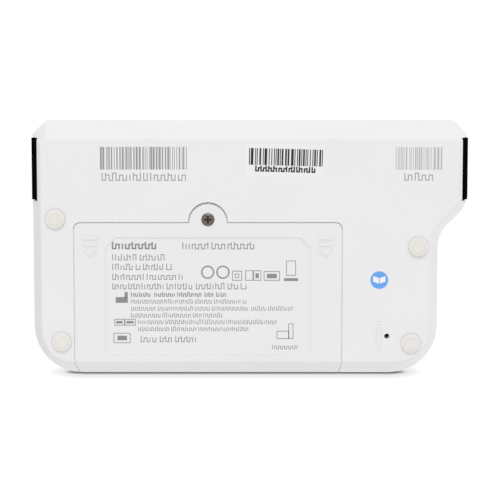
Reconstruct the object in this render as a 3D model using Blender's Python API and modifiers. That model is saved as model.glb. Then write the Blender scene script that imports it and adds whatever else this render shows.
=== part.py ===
"""Handheld urine analyzer: a flat white case with a wide head that holds a motor-driven test strip tray.

Metres, +Z up through the display. The origin lies between the four feet, on the surface they stand on.
+X is the user's right, +Y the head of the instrument, and the strip tray slides out towards -X.
"""

import math

import bmesh
import bpy
from mathutils import Matrix, Vector

# Overall size
LENGTH = 0.126
WIDTH = 0.0735
HEIGHT = 0.030

# Running gaps between pieces
GAP = 0.0003
SEAM = 0.0003
SLIDE_GAP = 0.00035

# Case shells
WALL = 0.002
FRONT_WALL = 0.0022
SPLIT_Z = 0.017
FOOT_PROUD = 0.0008
KEY_PROUD = 0.0008
PANEL_PROUD = 0.0003
OVERHANG = 0.0082
HEAD_DEPTH = 0.0247
HEAD_CHAMFER = 0.004
FRONT_CORNER_R = 0.0138
HEAD_CORNER_R = 0.0022
SHOULDER_R = 0.007
WAIST_R = 0.009
REAR_FLARE_SIDE = 0.0044
REAR_FLARE_BACK = 0.0049
REAR_FLARE_FRONT = 0.006
FRONT_FLARE = 0.0036
REAR_EDGE_SHARE = 0.8
REAR_EDGE_HEIGHT = 0.0016
FRONT_EDGE_SHARE = 0.3
FRONT_EDGE_HEIGHT = 0.0032
EDGE_STEPS = 4
INNER_EDGE_STEPS = 2

# Battery compartment and its cover
COVER_FROM_LEFT = 0.0286
COVER_FOOT_GAP = 0.00105
COVER_FROM_SHOULDER = 0.00365
COVER_THICK = 0.0015
COVER_CORNER_R = 0.0016
COVER_LEDGE = 0.0022
COVER_LEDGE_THICK = 0.0017
TAB_R = 0.0053
TAB_SCREW_Y = 0.001
LABEL_SIDE_MARGIN = 0.00865
LABEL_DROP = 0.004
LABEL_FROM_FRONT = 0.00745
LABEL_DEPTH = 0.00025
LABEL_CHAMFER_TOP = 0.003
LABEL_CHAMFER_FRONT = 0.0017
GRIP_BAR_LENGTH = 0.0045
GRIP_BAR_WIDTH = 0.0007
GRIP_PITCH = 0.0018
GRIP_RELIEF = 0.00025
GRIP_ARROW_WIDTH = 0.004
GRIP_ARROW_HEIGHT = 0.0019
BATTERY_SIDE_MARGIN = 0.01015
BATTERY_BACK_MARGIN = 0.005
BATTERY_FROM_FRONT = 0.01015
TUB_WALL = 0.0015
CONTACT_WIDTH = 0.010
CONTACT_DEPTH = 0.0052
CONTACT_HEIGHT = 0.0055

# Feet and the case screws above them
FOOT_R = 0.00275
FOOT_FLAT_R = 0.0017
REAR_BOSS_R = 0.0038
FRONT_BOSS_R = 0.003
SCREW_WELL_Z = 0.008
SCREW_HEAD_R = 0.002
SCREW_SHANK_R = 0.001
BOARD_PILOT_R = 0.00085
BOSS_MEET_DROP = 0.003
CASE_SCREW_BITE = 0.0065
PILOT_SPARE = 0.0015

# Strip tray, its guide and the end panels
PANEL_WIDTH = 0.0173
PANEL_LEAN = 0.0007
PANEL_FROM_BACK = 0.0137
PANEL_UNDER_TRAY = 0.0066
PANEL_OVER_TRAY = 0.0034
PANEL_THICK = 0.0022
PANEL_FLANGE = 0.001
PANEL_FLANGE_THICK = 0.0012
TRAY_WIDTH = 0.0099
TRAY_THICK = 0.004
TRAY_SETBACK = 0.0042
TRAY_END_ROOM = 0.007
STRIP_WIDTH = 0.0056
STRIP_DEPTH = 0.0012
STRIP_END_WALL = 0.002
TILE_LENGTH = 0.004
TILE_WALL = 0.0008
TILE_THICK = 0.0008
GUIDE_BASE = 0.002
GUIDE_WALL = 0.0015
GUIDE_LIP = 0.0008
GUIDE_SHORTER = 0.002
GUIDE_BOSS_R = 0.0025
GUIDE_SCREW_BITE = 0.00445
GUIDE_SCREW_FROM_LEFT = 0.0505
GUIDE_SCREW_FROM_RIGHT = 0.0227

# Tray drive
MODULE = 0.0005
PINION_TEETH = 16
WHEEL_TEETH = 32
MOTOR_TEETH = 12
TOOTH_ADDENDUM = 0.8
TOOTH_DEDENDUM = 1.05
BACKLASH = 0.00016
RACK_FACE = 0.0024
RACK_EMBED = 0.0003
RACK_LIFT = 0.0002
DRIVE_FROM_LEFT = 0.0125
WHEEL_UNDER_TRAY = 0.0054
WHEEL_FACE = 0.002
SHAFT_R = 0.00075
SHAFT_CLEARANCE = 0.00018
SHAFT_FOOT_Z = 0.0035
MOTOR_ANGLE = math.radians(20)
MOTOR_R = 0.006
MOTOR_SHAFT_R = 0.0006

# Optics over the tray
OPTIC_FROM_DRIVE = 0.026
OPTIC_BOARD_THICK = 0.001
OPTIC_LENGTH = 0.018
OPTIC_HEIGHT = 0.0042
OPTIC_POCKET_DEPTH = 0.0017
OPTIC_POCKET_MARGIN = 0.0014
APERTURE_R = 0.0014
LED_R = 0.0011
LED_SPACING = 0.010

# Display and keys
BAND_THICK = 0.0015
BAND_BACKING = 0.0017
WINDOW_FROM_LEFT = 0.0125
WINDOW_KEY_GAP = 0.013
WINDOW_FROM_BAND = 0.0046
WINDOW_FROM_FRONT = 0.00655
WINDOW_THICK = 0.0011
WINDOW_CORNER_R = 0.002
SCREEN_MARGIN_X = 0.0052
SCREEN_MARGIN_Y = 0.0013
MODULE_MARGIN = 0.0012
MODULE_THICK = 0.0026
BOARD_THICK = 0.0012
MAIN_BOARD_THICK = 0.0016
BOARD_ROOM = 0.0053
UNDER_BOARD_ROOM = 0.0029
SWITCH_HEIGHT = 0.0013
SWITCH_SIDE = 0.0045
PLUNGER_R = 0.001
KEY_TRAVEL = 0.0004
KEY_FROM_RIGHT = 0.0232
KEY_LENGTH = 0.017
KEY_GAP = 0.003
KEY_FROM_BAND = 0.0069
KEY_FROM_FRONT = 0.01385
KEY_FLANGE = 0.001
POWER_KEY_MARGIN = 0.00175

# Reset switch behind its pinhole
RESET_FROM_LEFT = 0.0157
RESET_FROM_FRONT = 0.01305
PINHOLE_R = 0.00075
PINHOLE_BOSS_R = 0.0022
PINHOLE_BOSS_Z = 0.009
RESET_TRAVEL = 0.00025

# USB charging socket
USB_FROM_FRONT = 0.02875
USB_WIDTH = 0.0075
USB_HEIGHT = 0.0026
USB_DEPTH = 0.0056
USB_CLEARANCE = 0.0004

# Arc and cylinder resolution
ROUND_STEPS = 16
CORNER_STEPS = 8
SMALL_CORNER_STEPS = 3

# Radio module on the main board
RADIO_FROM_LEFT = 0.0245
RADIO_FROM_FRONT = 0.02475
RADIO_SIZE = (0.014, 0.018)
RADIO_CAN = 0.012
RADIO_HEIGHT = 0.0022

# Places worked out from the sizes
RIGHT = LENGTH / 2 - PANEL_PROUD
LEFT = -RIGHT + OVERHANG
BACK = WIDTH / 2
FRONT = -WIDTH / 2
SHOULDER_Y = BACK - HEAD_DEPTH
WAIST_Y = SHOULDER_Y - OVERHANG
TRAY_Y = BACK - PANEL_FROM_BACK
BAND_EDGE_Y = TRAY_Y - PANEL_WIDTH / 2 - PANEL_LEAN

UNDER_Z = FOOT_PROUD
TOP_Z = HEIGHT - KEY_PROUD
FLOOR_Z = UNDER_Z + WALL
CEILING_Z = TOP_Z - FRONT_WALL
BAND_CEILING_Z = TOP_Z - BAND_THICK - GAP - BAND_BACKING
RIM_Z = SPLIT_Z + SEAM
FRONT_STRAIGHT_Z = TOP_Z - FRONT_EDGE_HEIGHT
REAR_STRAIGHT_Z = UNDER_Z + REAR_EDGE_HEIGHT
BOSS_MEET_Z = SPLIT_Z - BOSS_MEET_DROP
CASE_SCREW_TIP_Z = BOSS_MEET_Z + CASE_SCREW_BITE
PILOT_R = SCREW_SHANK_R + 0.0001

FEET = (
    (RIGHT - 0.008, SHOULDER_Y - 0.0025),
    (RIGHT - 0.0095, FRONT + 0.0114),
    (LEFT + 0.007, WAIST_Y - 0.0022),
    (LEFT + 0.0089, FRONT + 0.011),
)

# From the head's ceiling down: optic board, light block, guide lips, tray, wheel
OPTIC_BOARD_Z = BAND_CEILING_Z - GAP - OPTIC_BOARD_THICK
OPTIC_Z = OPTIC_BOARD_Z - GAP / 2 - OPTIC_HEIGHT
GUIDE_TOP_Z = OPTIC_Z - GAP
TRAY_TOP_Z = GUIDE_TOP_Z - GUIDE_LIP - SLIDE_GAP
TRAY_Z = TRAY_TOP_Z - TRAY_THICK
GUIDE_Z = TRAY_Z - SLIDE_GAP - GUIDE_BASE
WHEEL_Z = TRAY_Z - WHEEL_UNDER_TRAY
PANEL_LOW_Z = TRAY_Z - PANEL_UNDER_TRAY
PANEL_HIGH_Z = TRAY_TOP_Z + PANEL_OVER_TRAY
PANEL_FLANGE_INSET = FRONT_WALL + GAP

TRAY_LEFT = -RIGHT + TRAY_SETBACK + PANEL_THICK
TRAY_LENGTH = RIGHT - TRAY_END_ROOM - TRAY_LEFT
STRIP_LENGTH = TRAY_LENGTH - STRIP_END_WALL - TILE_LENGTH - 2 * TILE_WALL
TILE_PLACE = (TRAY_LEFT + TRAY_LENGTH - TILE_WALL - TILE_LENGTH / 2, TRAY_Y)
GUIDE_INNER = TRAY_WIDTH / 2 + SLIDE_GAP
GUIDE_LEFT = TRAY_LEFT + GAP
GUIDE_LENGTH = TRAY_LENGTH - GUIDE_SHORTER
GUIDE_SCREW_X = (LEFT + GUIDE_SCREW_FROM_LEFT, RIGHT - GUIDE_SCREW_FROM_RIGHT)

PITCH = math.pi * MODULE
PINION_R = MODULE * PINION_TEETH / 2
WHEEL_R = MODULE * WHEEL_TEETH / 2
MOTOR_PINION_R = MODULE * MOTOR_TEETH / 2
RACK_PITCH_Y = TRAY_Y - TRAY_WIDTH / 2 - TOOTH_DEDENDUM * MODULE
DRIVE_X = LEFT + DRIVE_FROM_LEFT
DRIVE_Y = RACK_PITCH_Y - PINION_R
MOTOR_X = DRIVE_X + (WHEEL_R + MOTOR_PINION_R) * math.cos(MOTOR_ANGLE)
MOTOR_Y = DRIVE_Y + (WHEEL_R + MOTOR_PINION_R) * math.sin(MOTOR_ANGLE)
OPTIC_X = DRIVE_X + OPTIC_FROM_DRIVE

# From the display side down: display module, front board, main board, battery tub, battery
FRONT_BOARD_Z = CEILING_Z - MODULE_THICK - 2 * GAP - BOARD_THICK
MODULE_Z = FRONT_BOARD_Z + BOARD_THICK + GAP
MAIN_BOARD_Z = FRONT_BOARD_Z - BOARD_ROOM - MAIN_BOARD_THICK
ON_BOARD_Z = MAIN_BOARD_Z + MAIN_BOARD_THICK + GAP
TUB_TOP_Z = MAIN_BOARD_Z - UNDER_BOARD_ROOM
TUB_ROOF_Z = TUB_TOP_Z - TUB_WALL
BATTERY_Z = UNDER_Z + COVER_THICK + GAP
BATTERY_THICK = TUB_ROOF_Z - GAP - BATTERY_Z

COVER_LEFT_X = LEFT + COVER_FROM_LEFT
COVER_RIGHT_X = FEET[1][0] - FOOT_R - COVER_FOOT_GAP
COVER_WIDTH = COVER_RIGHT_X - COVER_LEFT_X
COVER_MIDDLE_X = (COVER_LEFT_X + COVER_RIGHT_X) / 2
COVER_EDGE_Y = SHOULDER_Y - COVER_FROM_SHOULDER
COVER_SCREW = (COVER_MIDDLE_X, COVER_EDGE_Y + TAB_SCREW_Y)
LABEL_WIDTH = COVER_WIDTH - 2 * LABEL_SIDE_MARGIN
LABEL_TOP_Y = COVER_EDGE_Y - LABEL_DROP
LABEL_LOW_Y = FRONT + LABEL_FROM_FRONT
BATTERY_LENGTH = COVER_WIDTH - 2 * BATTERY_SIDE_MARGIN
BATTERY_WIDTH = COVER_EDGE_Y - BATTERY_BACK_MARGIN - FRONT - BATTERY_FROM_FRONT
BATTERY_Y = COVER_EDGE_Y - BATTERY_BACK_MARGIN - BATTERY_WIDTH / 2

KEY_X = RIGHT - KEY_FROM_RIGHT
WINDOW_LEFT_X = LEFT + WINDOW_FROM_LEFT
WINDOW_LENGTH = KEY_X - KEY_LENGTH / 2 - WINDOW_KEY_GAP - WINDOW_LEFT_X
WINDOW_X = WINDOW_LEFT_X + WINDOW_LENGTH / 2
WINDOW_TOP_Y = BAND_EDGE_Y - WINDOW_FROM_BAND
WINDOW_LOW_Y = FRONT + WINDOW_FROM_FRONT
WINDOW_WIDTH = WINDOW_TOP_Y - WINDOW_LOW_Y
WINDOW_Y = (WINDOW_TOP_Y + WINDOW_LOW_Y) / 2
SCREEN_LENGTH = WINDOW_LENGTH - 2 * SCREEN_MARGIN_X
SCREEN_WIDTH = WINDOW_WIDTH - 2 * SCREEN_MARGIN_Y
MODULE_LENGTH = WINDOW_LENGTH
MODULE_WIDTH = WINDOW_WIDTH + 2 * MODULE_MARGIN
POWER_KEY_Y = BAND_EDGE_Y - KEY_FROM_BAND
KEY_PITCH = (POWER_KEY_Y - FRONT - KEY_FROM_FRONT) / 3
KEY_WIDTH = KEY_PITCH - KEY_GAP
POWER_KEY_R = KEY_PITCH / 2 - POWER_KEY_MARGIN
KEYS = (
    ("up", POWER_KEY_Y - KEY_PITCH),
    ("start", POWER_KEY_Y - 2 * KEY_PITCH),
    ("down", POWER_KEY_Y - 3 * KEY_PITCH),
)
RESET_X = LEFT + RESET_FROM_LEFT
RESET_Y = FRONT + RESET_FROM_FRONT
USB_Y = FRONT + USB_FROM_FRONT
RADIO_X = LEFT + RADIO_FROM_LEFT
RADIO_Y = FRONT + RADIO_FROM_FRONT

WHITE_ABS = ("white_abs", (0.86, 0.855, 0.855), 0.42, 0.0)
BLACK_GLOSS = ("black_gloss", (0.012, 0.011, 0.013), 0.12, 0.0)
BLACK_MATTE = ("black_matte", (0.02, 0.02, 0.022), 0.6, 0.0)
FOOT_RUBBER = ("foot_rubber", (0.80, 0.79, 0.75), 0.7, 0.0)
GREY_KEY = ("grey_key", (0.55, 0.57, 0.60), 0.45, 0.0)
WHITE_POM = ("white_pom", (0.84, 0.84, 0.82), 0.35, 0.0)
NICKEL = ("nickel", (0.55, 0.48, 0.42), 0.3, 1.0)
STEEL = ("steel", (0.6, 0.6, 0.6), 0.3, 1.0)
BRASS = ("brass", (0.75, 0.58, 0.28), 0.3, 1.0)
BOARD_GREEN = ("board_green", (0.02, 0.16, 0.07), 0.4, 0.0)
SCREEN_GLASS = ("screen_glass", (0.03, 0.03, 0.035), 0.08, 0.0)
BATTERY_WRAP = ("battery_wrap", (0.16, 0.30, 0.55), 0.4, 0.0)
CLEAR_EPOXY = ("clear_epoxy", (0.9, 0.9, 0.92), 0.15, 0.0)


def clear_scene():
    for obj in list(bpy.data.objects):
        bpy.data.objects.remove(obj)


def new_collection(name):
    collection = bpy.data.collections.new(name)
    bpy.context.scene.collection.children.link(collection)
    return collection


def material(finish):
    name, colour, roughness, metallic = finish
    made = bpy.data.materials.get(name)
    if made is None:
        made = bpy.data.materials.new(name)
        made.use_nodes = True
        shader = made.node_tree.nodes["Principled BSDF"]
        shader.inputs["Base Color"].default_value = (*colour, 1)
        shader.inputs["Roughness"].default_value = roughness
        shader.inputs["Metallic"].default_value = metallic
    return made


def object_from(name, mesh, place=(0, 0, 0)):
    """A helper object. It becomes a part when piece() is called on it."""
    obj = bpy.data.objects.new(name, mesh)
    obj.location = place
    HELPERS.objects.link(obj)
    obj.hide_render = True
    obj.display_type = "WIRE"
    return obj


def piece(obj, name, finish):
    """Turns a helper into a named sub-part of the analyzer with its own material."""
    HELPERS.objects.unlink(obj)
    PARTS.objects.link(obj)
    obj.hide_render = False
    obj.display_type = "TEXTURED"
    obj.name = name
    obj.data.name = name
    obj.data.materials.clear()
    obj.data.materials.append(material(finish))
    return obj


def mesh_from(name, bm):
    mesh = bpy.data.meshes.new(name)
    bmesh.ops.recalc_face_normals(bm, faces=bm.faces)
    bm.to_mesh(mesh)
    bm.free()
    return mesh


def box(name, low, high):
    size = Vector(high) - Vector(low)
    bm = bmesh.new()
    bmesh.ops.create_cube(bm, size=1, matrix=Matrix.Diagonal((*size, 1)))
    return object_from(name, mesh_from(name, bm), (Vector(low) + Vector(high)) / 2)


def block(name, middle, size, low, high):
    """A box given by the middle and size of its plan and by its two levels."""
    half = Vector(size) / 2
    return box(
        name,
        (middle[0] - half.x, middle[1] - half.y, low),
        (middle[0] + half.x, middle[1] + half.y, high),
    )


def cylinder(name, radius, at, low, high, steps=ROUND_STEPS):
    bm = bmesh.new()
    bmesh.ops.create_cone(
        bm,
        cap_ends=True,
        segments=steps,
        radius1=radius,
        radius2=radius,
        depth=high - low,
    )
    return object_from(name, mesh_from(name, bm), (*at, (low + high) / 2))


def turned(name, profile, at, steps=ROUND_STEPS, hollow=False):
    """A solid of revolution about a vertical axis. The profile is (radius, height), from the top down."""
    mesh = bpy.data.meshes.new(name)
    points = [(radius, 0, height) for radius, height in profile]
    edges = [(i, i + 1) for i in range(len(points) - 1)]
    if hollow:
        edges.append((len(points) - 1, 0))
    mesh.from_pydata(points, edges, [])
    obj = object_from(name, mesh, (*at, 0))
    screw = obj.modifiers.new("turn", "SCREW")
    screw.steps = steps
    screw.render_steps = steps
    screw.use_merge_vertices = True
    screw.merge_threshold = 0.00001
    return obj


def plate(name, outlines, low, high):
    """A flat outline, or an outline with holes, as a solid between two levels."""
    curve = bpy.data.curves.new(name, "CURVE")
    curve.dimensions = "2D"
    curve.fill_mode = "BOTH"
    curve.extrude = (high - low) / 2
    for outline in outlines:
        spline = curve.splines.new("POLY")
        spline.points.add(len(outline) - 1)
        for point, (x, y) in zip(spline.points, outline):
            point.co = (x, y, 0, 1)
        spline.use_cyclic_u = True
    guide = bpy.data.objects.new(name, curve)
    guide.location.z = (low + high) / 2
    HELPERS.objects.link(guide)
    bpy.context.view_layer.update()
    shaped = guide.evaluated_get(bpy.context.evaluated_depsgraph_get())
    mesh = bpy.data.meshes.new_from_object(shaped)
    bm = bmesh.new()
    bm.from_mesh(mesh)
    bmesh.ops.remove_doubles(bm, verts=bm.verts, dist=0.000001)
    bmesh.ops.recalc_face_normals(bm, faces=bm.faces)
    bm.to_mesh(mesh)
    bm.free()
    obj = object_from(name, mesh)
    obj.matrix_world = guide.matrix_world
    bpy.data.objects.remove(guide)
    return obj


def loft(name, rings):
    """A closed solid through rings that have the same number of points."""
    bm = bmesh.new()
    levels = [[bm.verts.new(point) for point in ring] for ring in rings]
    for lower, upper in zip(levels, levels[1:]):
        for i in range(len(lower)):
            j = (i + 1) % len(lower)
            bm.faces.new((lower[i], lower[j], upper[j], upper[i]))
    bm.faces.new(levels[0])
    bm.faces.new(levels[-1])
    return object_from(name, mesh_from(name, bm))


def combine(target, tools, operation):
    for tool in tools:
        modifier = target.modifiers.new(tool.name, "BOOLEAN")
        modifier.operation = operation
        modifier.solver = "EXACT"
        modifier.object = tool
    return target


def cut(target, *tools):
    return combine(target, tools, "DIFFERENCE")


def join(target, *tools):
    return combine(target, tools, "UNION")


def keep(target, *tools):
    return combine(target, tools, "INTERSECT")


def lay_along_x(obj, place):
    """Turns a shape drawn about the Z axis so that its own Z runs along X, about a place."""
    along = obj.location.z
    obj.rotation_euler = (math.pi / 2, 0, math.pi / 2)
    obj.location = Vector(place) + Vector((along, 0, 0))
    return obj


def bevelled(obj, width, steps=1, angle=math.radians(50)):
    bevel = obj.modifiers.new("edge", "BEVEL")
    bevel.width = width
    bevel.segments = steps
    bevel.limit_method = "ANGLE"
    bevel.angle_limit = angle
    return obj


def smooth(obj, angle=math.radians(35)):
    obj.data.shade_smooth()
    obj.data.set_sharp_from_angle(angle=angle)
    return obj


def arc(centre, radius, start, end, steps):
    """Points of an arc, both ends among them."""
    turns = [start + (end - start) * i / steps for i in range(steps + 1)]
    return [(centre[0] + radius * math.cos(t), centre[1] + radius * math.sin(t)) for t in turns]


def rounded_rectangle(middle, size, radius, steps=3):
    """Counter-clockwise outline of a rectangle with rounded corners."""
    half_x = size[0] / 2 - radius
    half_y = size[1] / 2 - radius
    points = []
    for quarter, (sx, sy) in enumerate(((1, 1), (-1, 1), (-1, -1), (1, -1))):
        centre = (middle[0] + sx * half_x, middle[1] + sy * half_y)
        start = quarter * math.pi / 2
        points += arc(centre, radius, start, start + math.pi / 2, steps)
    return points


def rectangle(middle, size):
    half_x, half_y = size[0] / 2, size[1] / 2
    signs = ((1, 1), (-1, 1), (-1, -1), (1, -1))
    return [(middle[0] + sx * half_x, middle[1] + sy * half_y) for sx, sy in signs]


def filleted(corners, radii, steps):
    """A polygon with each corner rounded to its own radius. It runs counter-clockwise."""
    points = []
    count = len(corners)
    for i in range(count):
        corner = Vector(corners[i])
        back = (Vector(corners[i - 1]) - corner).normalized()
        ahead = (Vector(corners[(i + 1) % count]) - corner).normalized()
        half = back.angle(ahead) / 2
        reach = radii[i] / math.tan(half)
        centre = corner + (back + ahead).normalized() * radii[i] / math.sin(half)
        first = corner + back * reach - centre
        last = corner + ahead * reach - centre
        start = math.atan2(first.y, first.x)
        sweep = math.atan2(first.x * last.y - first.y * last.x, first.dot(last))
        points += arc(centre, radii[i], start, start + sweep, steps[i])
    return points


def case_outline(flares, share, inset):
    """The case seen from above, drawn in by a share of each side's flare and by a wall thickness."""
    side, back, front = (flare * share + inset for flare in flares)
    corner_y = BACK - HEAD_CHAMFER
    corners = [
        Vector((RIGHT, FRONT)),
        Vector((RIGHT, corner_y)),
        Vector((RIGHT - HEAD_CHAMFER, BACK)),
        Vector((-RIGHT + HEAD_CHAMFER, BACK)),
        Vector((-RIGHT, corner_y)),
        Vector((-RIGHT, SHOULDER_Y)),
        Vector((LEFT, WAIST_Y)),
        Vector((LEFT, FRONT)),
    ]
    radii = [FRONT_CORNER_R] + [HEAD_CORNER_R] * 4 + [SHOULDER_R, WAIST_R, FRONT_CORNER_R]
    bulges = [1, 1, 1, 1, 1, 1, -1, 1]
    steps = [CORNER_STEPS] + [SMALL_CORNER_STEPS] * 4 + [CORNER_STEPS // 2 + 1] * 2 + [CORNER_STEPS]
    mixed = (side + back) / 2
    offsets = [side, mixed, back, mixed, side, side, side, front]
    count = len(corners)
    lines = []
    for i in range(count):
        direction = (corners[(i + 1) % count] - corners[i]).normalized()
        inward = Vector((-direction.y, direction.x))
        lines.append((corners[i] + inward * offsets[i], direction))
    moved = []
    for i in range(count):
        (a, along_a), (b, along_b) = lines[i - 1], lines[i]
        cross = along_a.x * along_b.y - along_a.y * along_b.x
        step = ((b - a).x * along_b.y - (b - a).y * along_b.x) / cross
        moved.append(a + along_a * step)
    drawn = [(offsets[i - 1] + offsets[i]) / 2 for i in range(count)]
    smallest = HEAD_CORNER_R / 8
    radii = [max(radii[i] - bulges[i] * drawn[i], smallest) for i in range(count)]
    return filleted(moved, radii, steps)


REAR_FLARES = (REAR_FLARE_SIDE, REAR_FLARE_BACK, REAR_FLARE_FRONT)
FRONT_FLARES = (FRONT_FLARE,) * 3


def rear_share(z):
    """How far the rear case's straight wall has drawn in at a level, as a share of its flare."""
    return REAR_EDGE_SHARE * (SPLIT_Z - z) / (SPLIT_Z - REAR_STRAIGHT_Z)


def front_share(z):
    return FRONT_EDGE_SHARE * (z - RIM_Z) / (FRONT_STRAIGHT_Z - RIM_Z)


def ring(flares, share, inset, z):
    return [(x, y, z) for x, y in case_outline(flares, share, inset)]


def edge_levels(straight_z, straight_share, end_z, inset):
    """Levels round a case edge as (share of the flare, z), a quarter of an ellipse, coarser inside."""
    levels = []
    steps = INNER_EDGE_STEPS if inset > 0 else EDGE_STEPS
    for i in range(steps + 1):
        turn = math.pi / 2 * i / steps
        share = straight_share + (1 - straight_share) * (1 - math.cos(turn))
        levels.append((share, straight_z + (end_z - straight_z) * math.sin(turn)))
    return levels


def rear_skin(name, inset, top=0.0):
    """The rear case's outer form, drawn in by a wall thickness, up to the split or beyond it."""
    rings = [ring(REAR_FLARES, 0, inset, SPLIT_Z + top)] if top else []
    rings.append(ring(REAR_FLARES, 0, inset, SPLIT_Z))
    low = UNDER_Z + inset
    straight = low + REAR_EDGE_HEIGHT
    for share, z in edge_levels(straight, rear_share(straight), low, inset):
        rings.append(ring(REAR_FLARES, share, inset, z))
    return loft(name, rings)


def front_skin(name, inset, below=0.0):
    """The front case's outer form, drawn in by a wall thickness, down to the rim or beyond it."""
    rings = [ring(FRONT_FLARES, 0, inset, RIM_Z - below)] if below else []
    rings.append(ring(FRONT_FLARES, 0, inset, RIM_Z))
    high = TOP_Z - inset
    straight = high - FRONT_EDGE_HEIGHT
    for share, z in edge_levels(straight, front_share(straight), high, inset):
        rings.append(ring(FRONT_FLARES, share, inset, z))
    return loft(name, rings)


def cover_outline(grown):
    """The battery cover seen from above, with its screw tab. It runs past the case's front edge."""
    half = COVER_WIDTH / 2 + grown
    edge = COVER_EDGE_Y + grown
    tab = TAB_R + grown
    corner = COVER_CORNER_R + grown
    past = FRONT - 0.004
    points = [(COVER_MIDDLE_X - half, past), (COVER_MIDDLE_X + half, past)]
    points += arc((COVER_MIDDLE_X + half - corner, edge - corner), corner, 0, math.pi / 2, 4)
    points += arc((COVER_MIDDLE_X, edge), tab, 0, math.pi, 14)
    points += arc((COVER_MIDDLE_X - half + corner, edge - corner), corner, math.pi / 2, math.pi, 4)
    return points


def panel_window(name, side, grown):
    """The space of one end panel, from inside the case to well outside it. Its near end leans outwards."""
    inner = RIGHT - 0.006
    outer = RIGHT + 0.004
    half = PANEL_WIDTH / 2 + grown
    xs = sorted((side * inner, side * outer))
    window = box(
        name,
        (xs[0], TRAY_Y - half, PANEL_LOW_Z - grown),
        (xs[1], TRAY_Y + half, PANEL_HIGH_Z + grown),
    )
    for vertex in window.data.vertices:
        if vertex.co.y < 0 < vertex.co.z:
            vertex.co.y -= PANEL_LEAN
    return window


def rear_case():
    """Bottom shell: battery tub, screw bosses and wells, pinhole, guide bosses and motor seat."""
    case = rear_skin("rear_case_skin", 0)
    cut(case, rear_skin("rear_cavity", WALL, top=0.002))

    # A thicker floor and front wall round the cover, so that it has a ledge to lie on
    ledge = plate("cover_ledge", [cover_outline(COVER_LEDGE)], -0.001, SPLIT_Z)
    keep(ledge, rear_skin("ledge_limit", 0.0001))
    ledge_inset = COVER_THICK + GAP + COVER_LEDGE_THICK
    cut(ledge, rear_skin("ledge_cavity", ledge_inset, top=0.002))
    tub_size = (BATTERY_LENGTH + 2 * GAP + 2 * TUB_WALL, BATTERY_WIDTH + 2 * GAP + 2 * TUB_WALL)
    tub_low = UNDER_Z + COVER_THICK + GAP + COVER_LEDGE_THICK / 2
    tub = block("tub", (COVER_MIDDLE_X, BATTERY_Y), tub_size, tub_low, TUB_TOP_Z)
    join(case, ledge, tub)

    for i, place in enumerate(FEET):
        join(case, cylinder(f"rear_boss_{i}", REAR_BOSS_R, place, UNDER_Z + 0.0008, BOSS_MEET_Z))
    join(case, cylinder("cover_screw_boss", 0.0032, COVER_SCREW, FLOOR_Z - 0.0004, PINHOLE_BOSS_Z))
    rooted = FLOOR_Z - 0.0006
    join(case, cylinder("pinhole_boss", PINHOLE_BOSS_R, (RESET_X, RESET_Y), rooted, PINHOLE_BOSS_Z, 12))
    join(case, cylinder("shaft_boss", SHAFT_R * 3, (DRIVE_X, DRIVE_Y), rooted, WHEEL_Z - GAP, 12))
    join(case, cylinder("motor_seat", MOTOR_R + 0.0012, (MOTOR_X, MOTOR_Y), rooted, FLOOR_Z + 0.002, 18))
    for i, x in enumerate(GUIDE_SCREW_X):
        join(case, cylinder(f"guide_boss_{i}", GUIDE_BOSS_R, (x, TRAY_Y), rooted, GUIDE_Z - GAP, 14))
    for i, place in enumerate(main_board_posts()):
        join(case, cylinder(f"board_post_{i}", 0.002, place, TUB_TOP_Z - 0.0005, MAIN_BOARD_Z - GAP, 12))

    # The cover's seat is everything within its thickness of the outer face
    seat = plate("cover_seat", [cover_outline(GAP)], -0.002, SPLIT_Z + 0.001)
    cut(seat, rear_skin("seat_limit", COVER_THICK + GAP, top=0.004))
    well = block(
        "battery_well",
        (COVER_MIDDLE_X, BATTERY_Y),
        (BATTERY_LENGTH + 2 * GAP, BATTERY_WIDTH + 2 * GAP),
        -0.001,
        TUB_ROOF_Z,
    )
    slot = block(
        "contact_slot",
        (COVER_MIDDLE_X - BATTERY_LENGTH / 2 - TUB_WALL, BATTERY_Y),
        (TUB_WALL * 4, CONTACT_WIDTH + 2 * GAP),
        BATTERY_Z + 0.0018,
        BATTERY_Z + 0.0018 + CONTACT_HEIGHT + 2 * GAP,
    )
    cut(case, seat, well, slot)

    for i, place in enumerate(FEET):
        cut(case, cylinder(f"screw_well_{i}", SCREW_HEAD_R + GAP, place, 0, SCREW_WELL_Z, 12))
        cut(case, cylinder(f"shank_hole_{i}", SCREW_SHANK_R + GAP, place, 0.001, BOSS_MEET_Z + 0.001, 8))
    cut(case, cylinder("cover_screw_hole", 0.0011, COVER_SCREW, 0.001, PINHOLE_BOSS_Z - 0.001, 12))
    cut(case, cylinder("pinhole", PINHOLE_R, (RESET_X, RESET_Y), -0.001, PINHOLE_BOSS_Z + 0.001, 12))
    shaft_hole_r = SHAFT_R + SHAFT_CLEARANCE
    cut(case, cylinder("shaft_hole", shaft_hole_r, (DRIVE_X, DRIVE_Y), SHAFT_FOOT_Z - GAP, WHEEL_Z, 12))
    cut(case, cylinder("motor_bed", MOTOR_R + GAP, (MOTOR_X, MOTOR_Y), FLOOR_Z, FLOOR_Z + 0.004, 18))
    guide_pilot_z = GUIDE_Z - GUIDE_SCREW_BITE - PILOT_SPARE / 2
    for i, x in enumerate(GUIDE_SCREW_X):
        cut(case, cylinder(f"guide_pilot_{i}", PILOT_R, (x, TRAY_Y), guide_pilot_z, GUIDE_Z + 0.001, 8))
    for i, place in enumerate(main_board_posts()):
        pilot_low = TUB_TOP_Z + 0.0004
        cut(case, cylinder(f"board_pilot_{i}", BOARD_PILOT_R, place, pilot_low, MAIN_BOARD_Z + 0.001, 10))
    cut(case, panel_window("rear_window_left", -1, GAP), panel_window("rear_window_right", 1, GAP))
    cut(case, usb_notch("rear_usb_notch"))
    return smooth(piece(case, "rear_case", WHITE_ABS))


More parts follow.
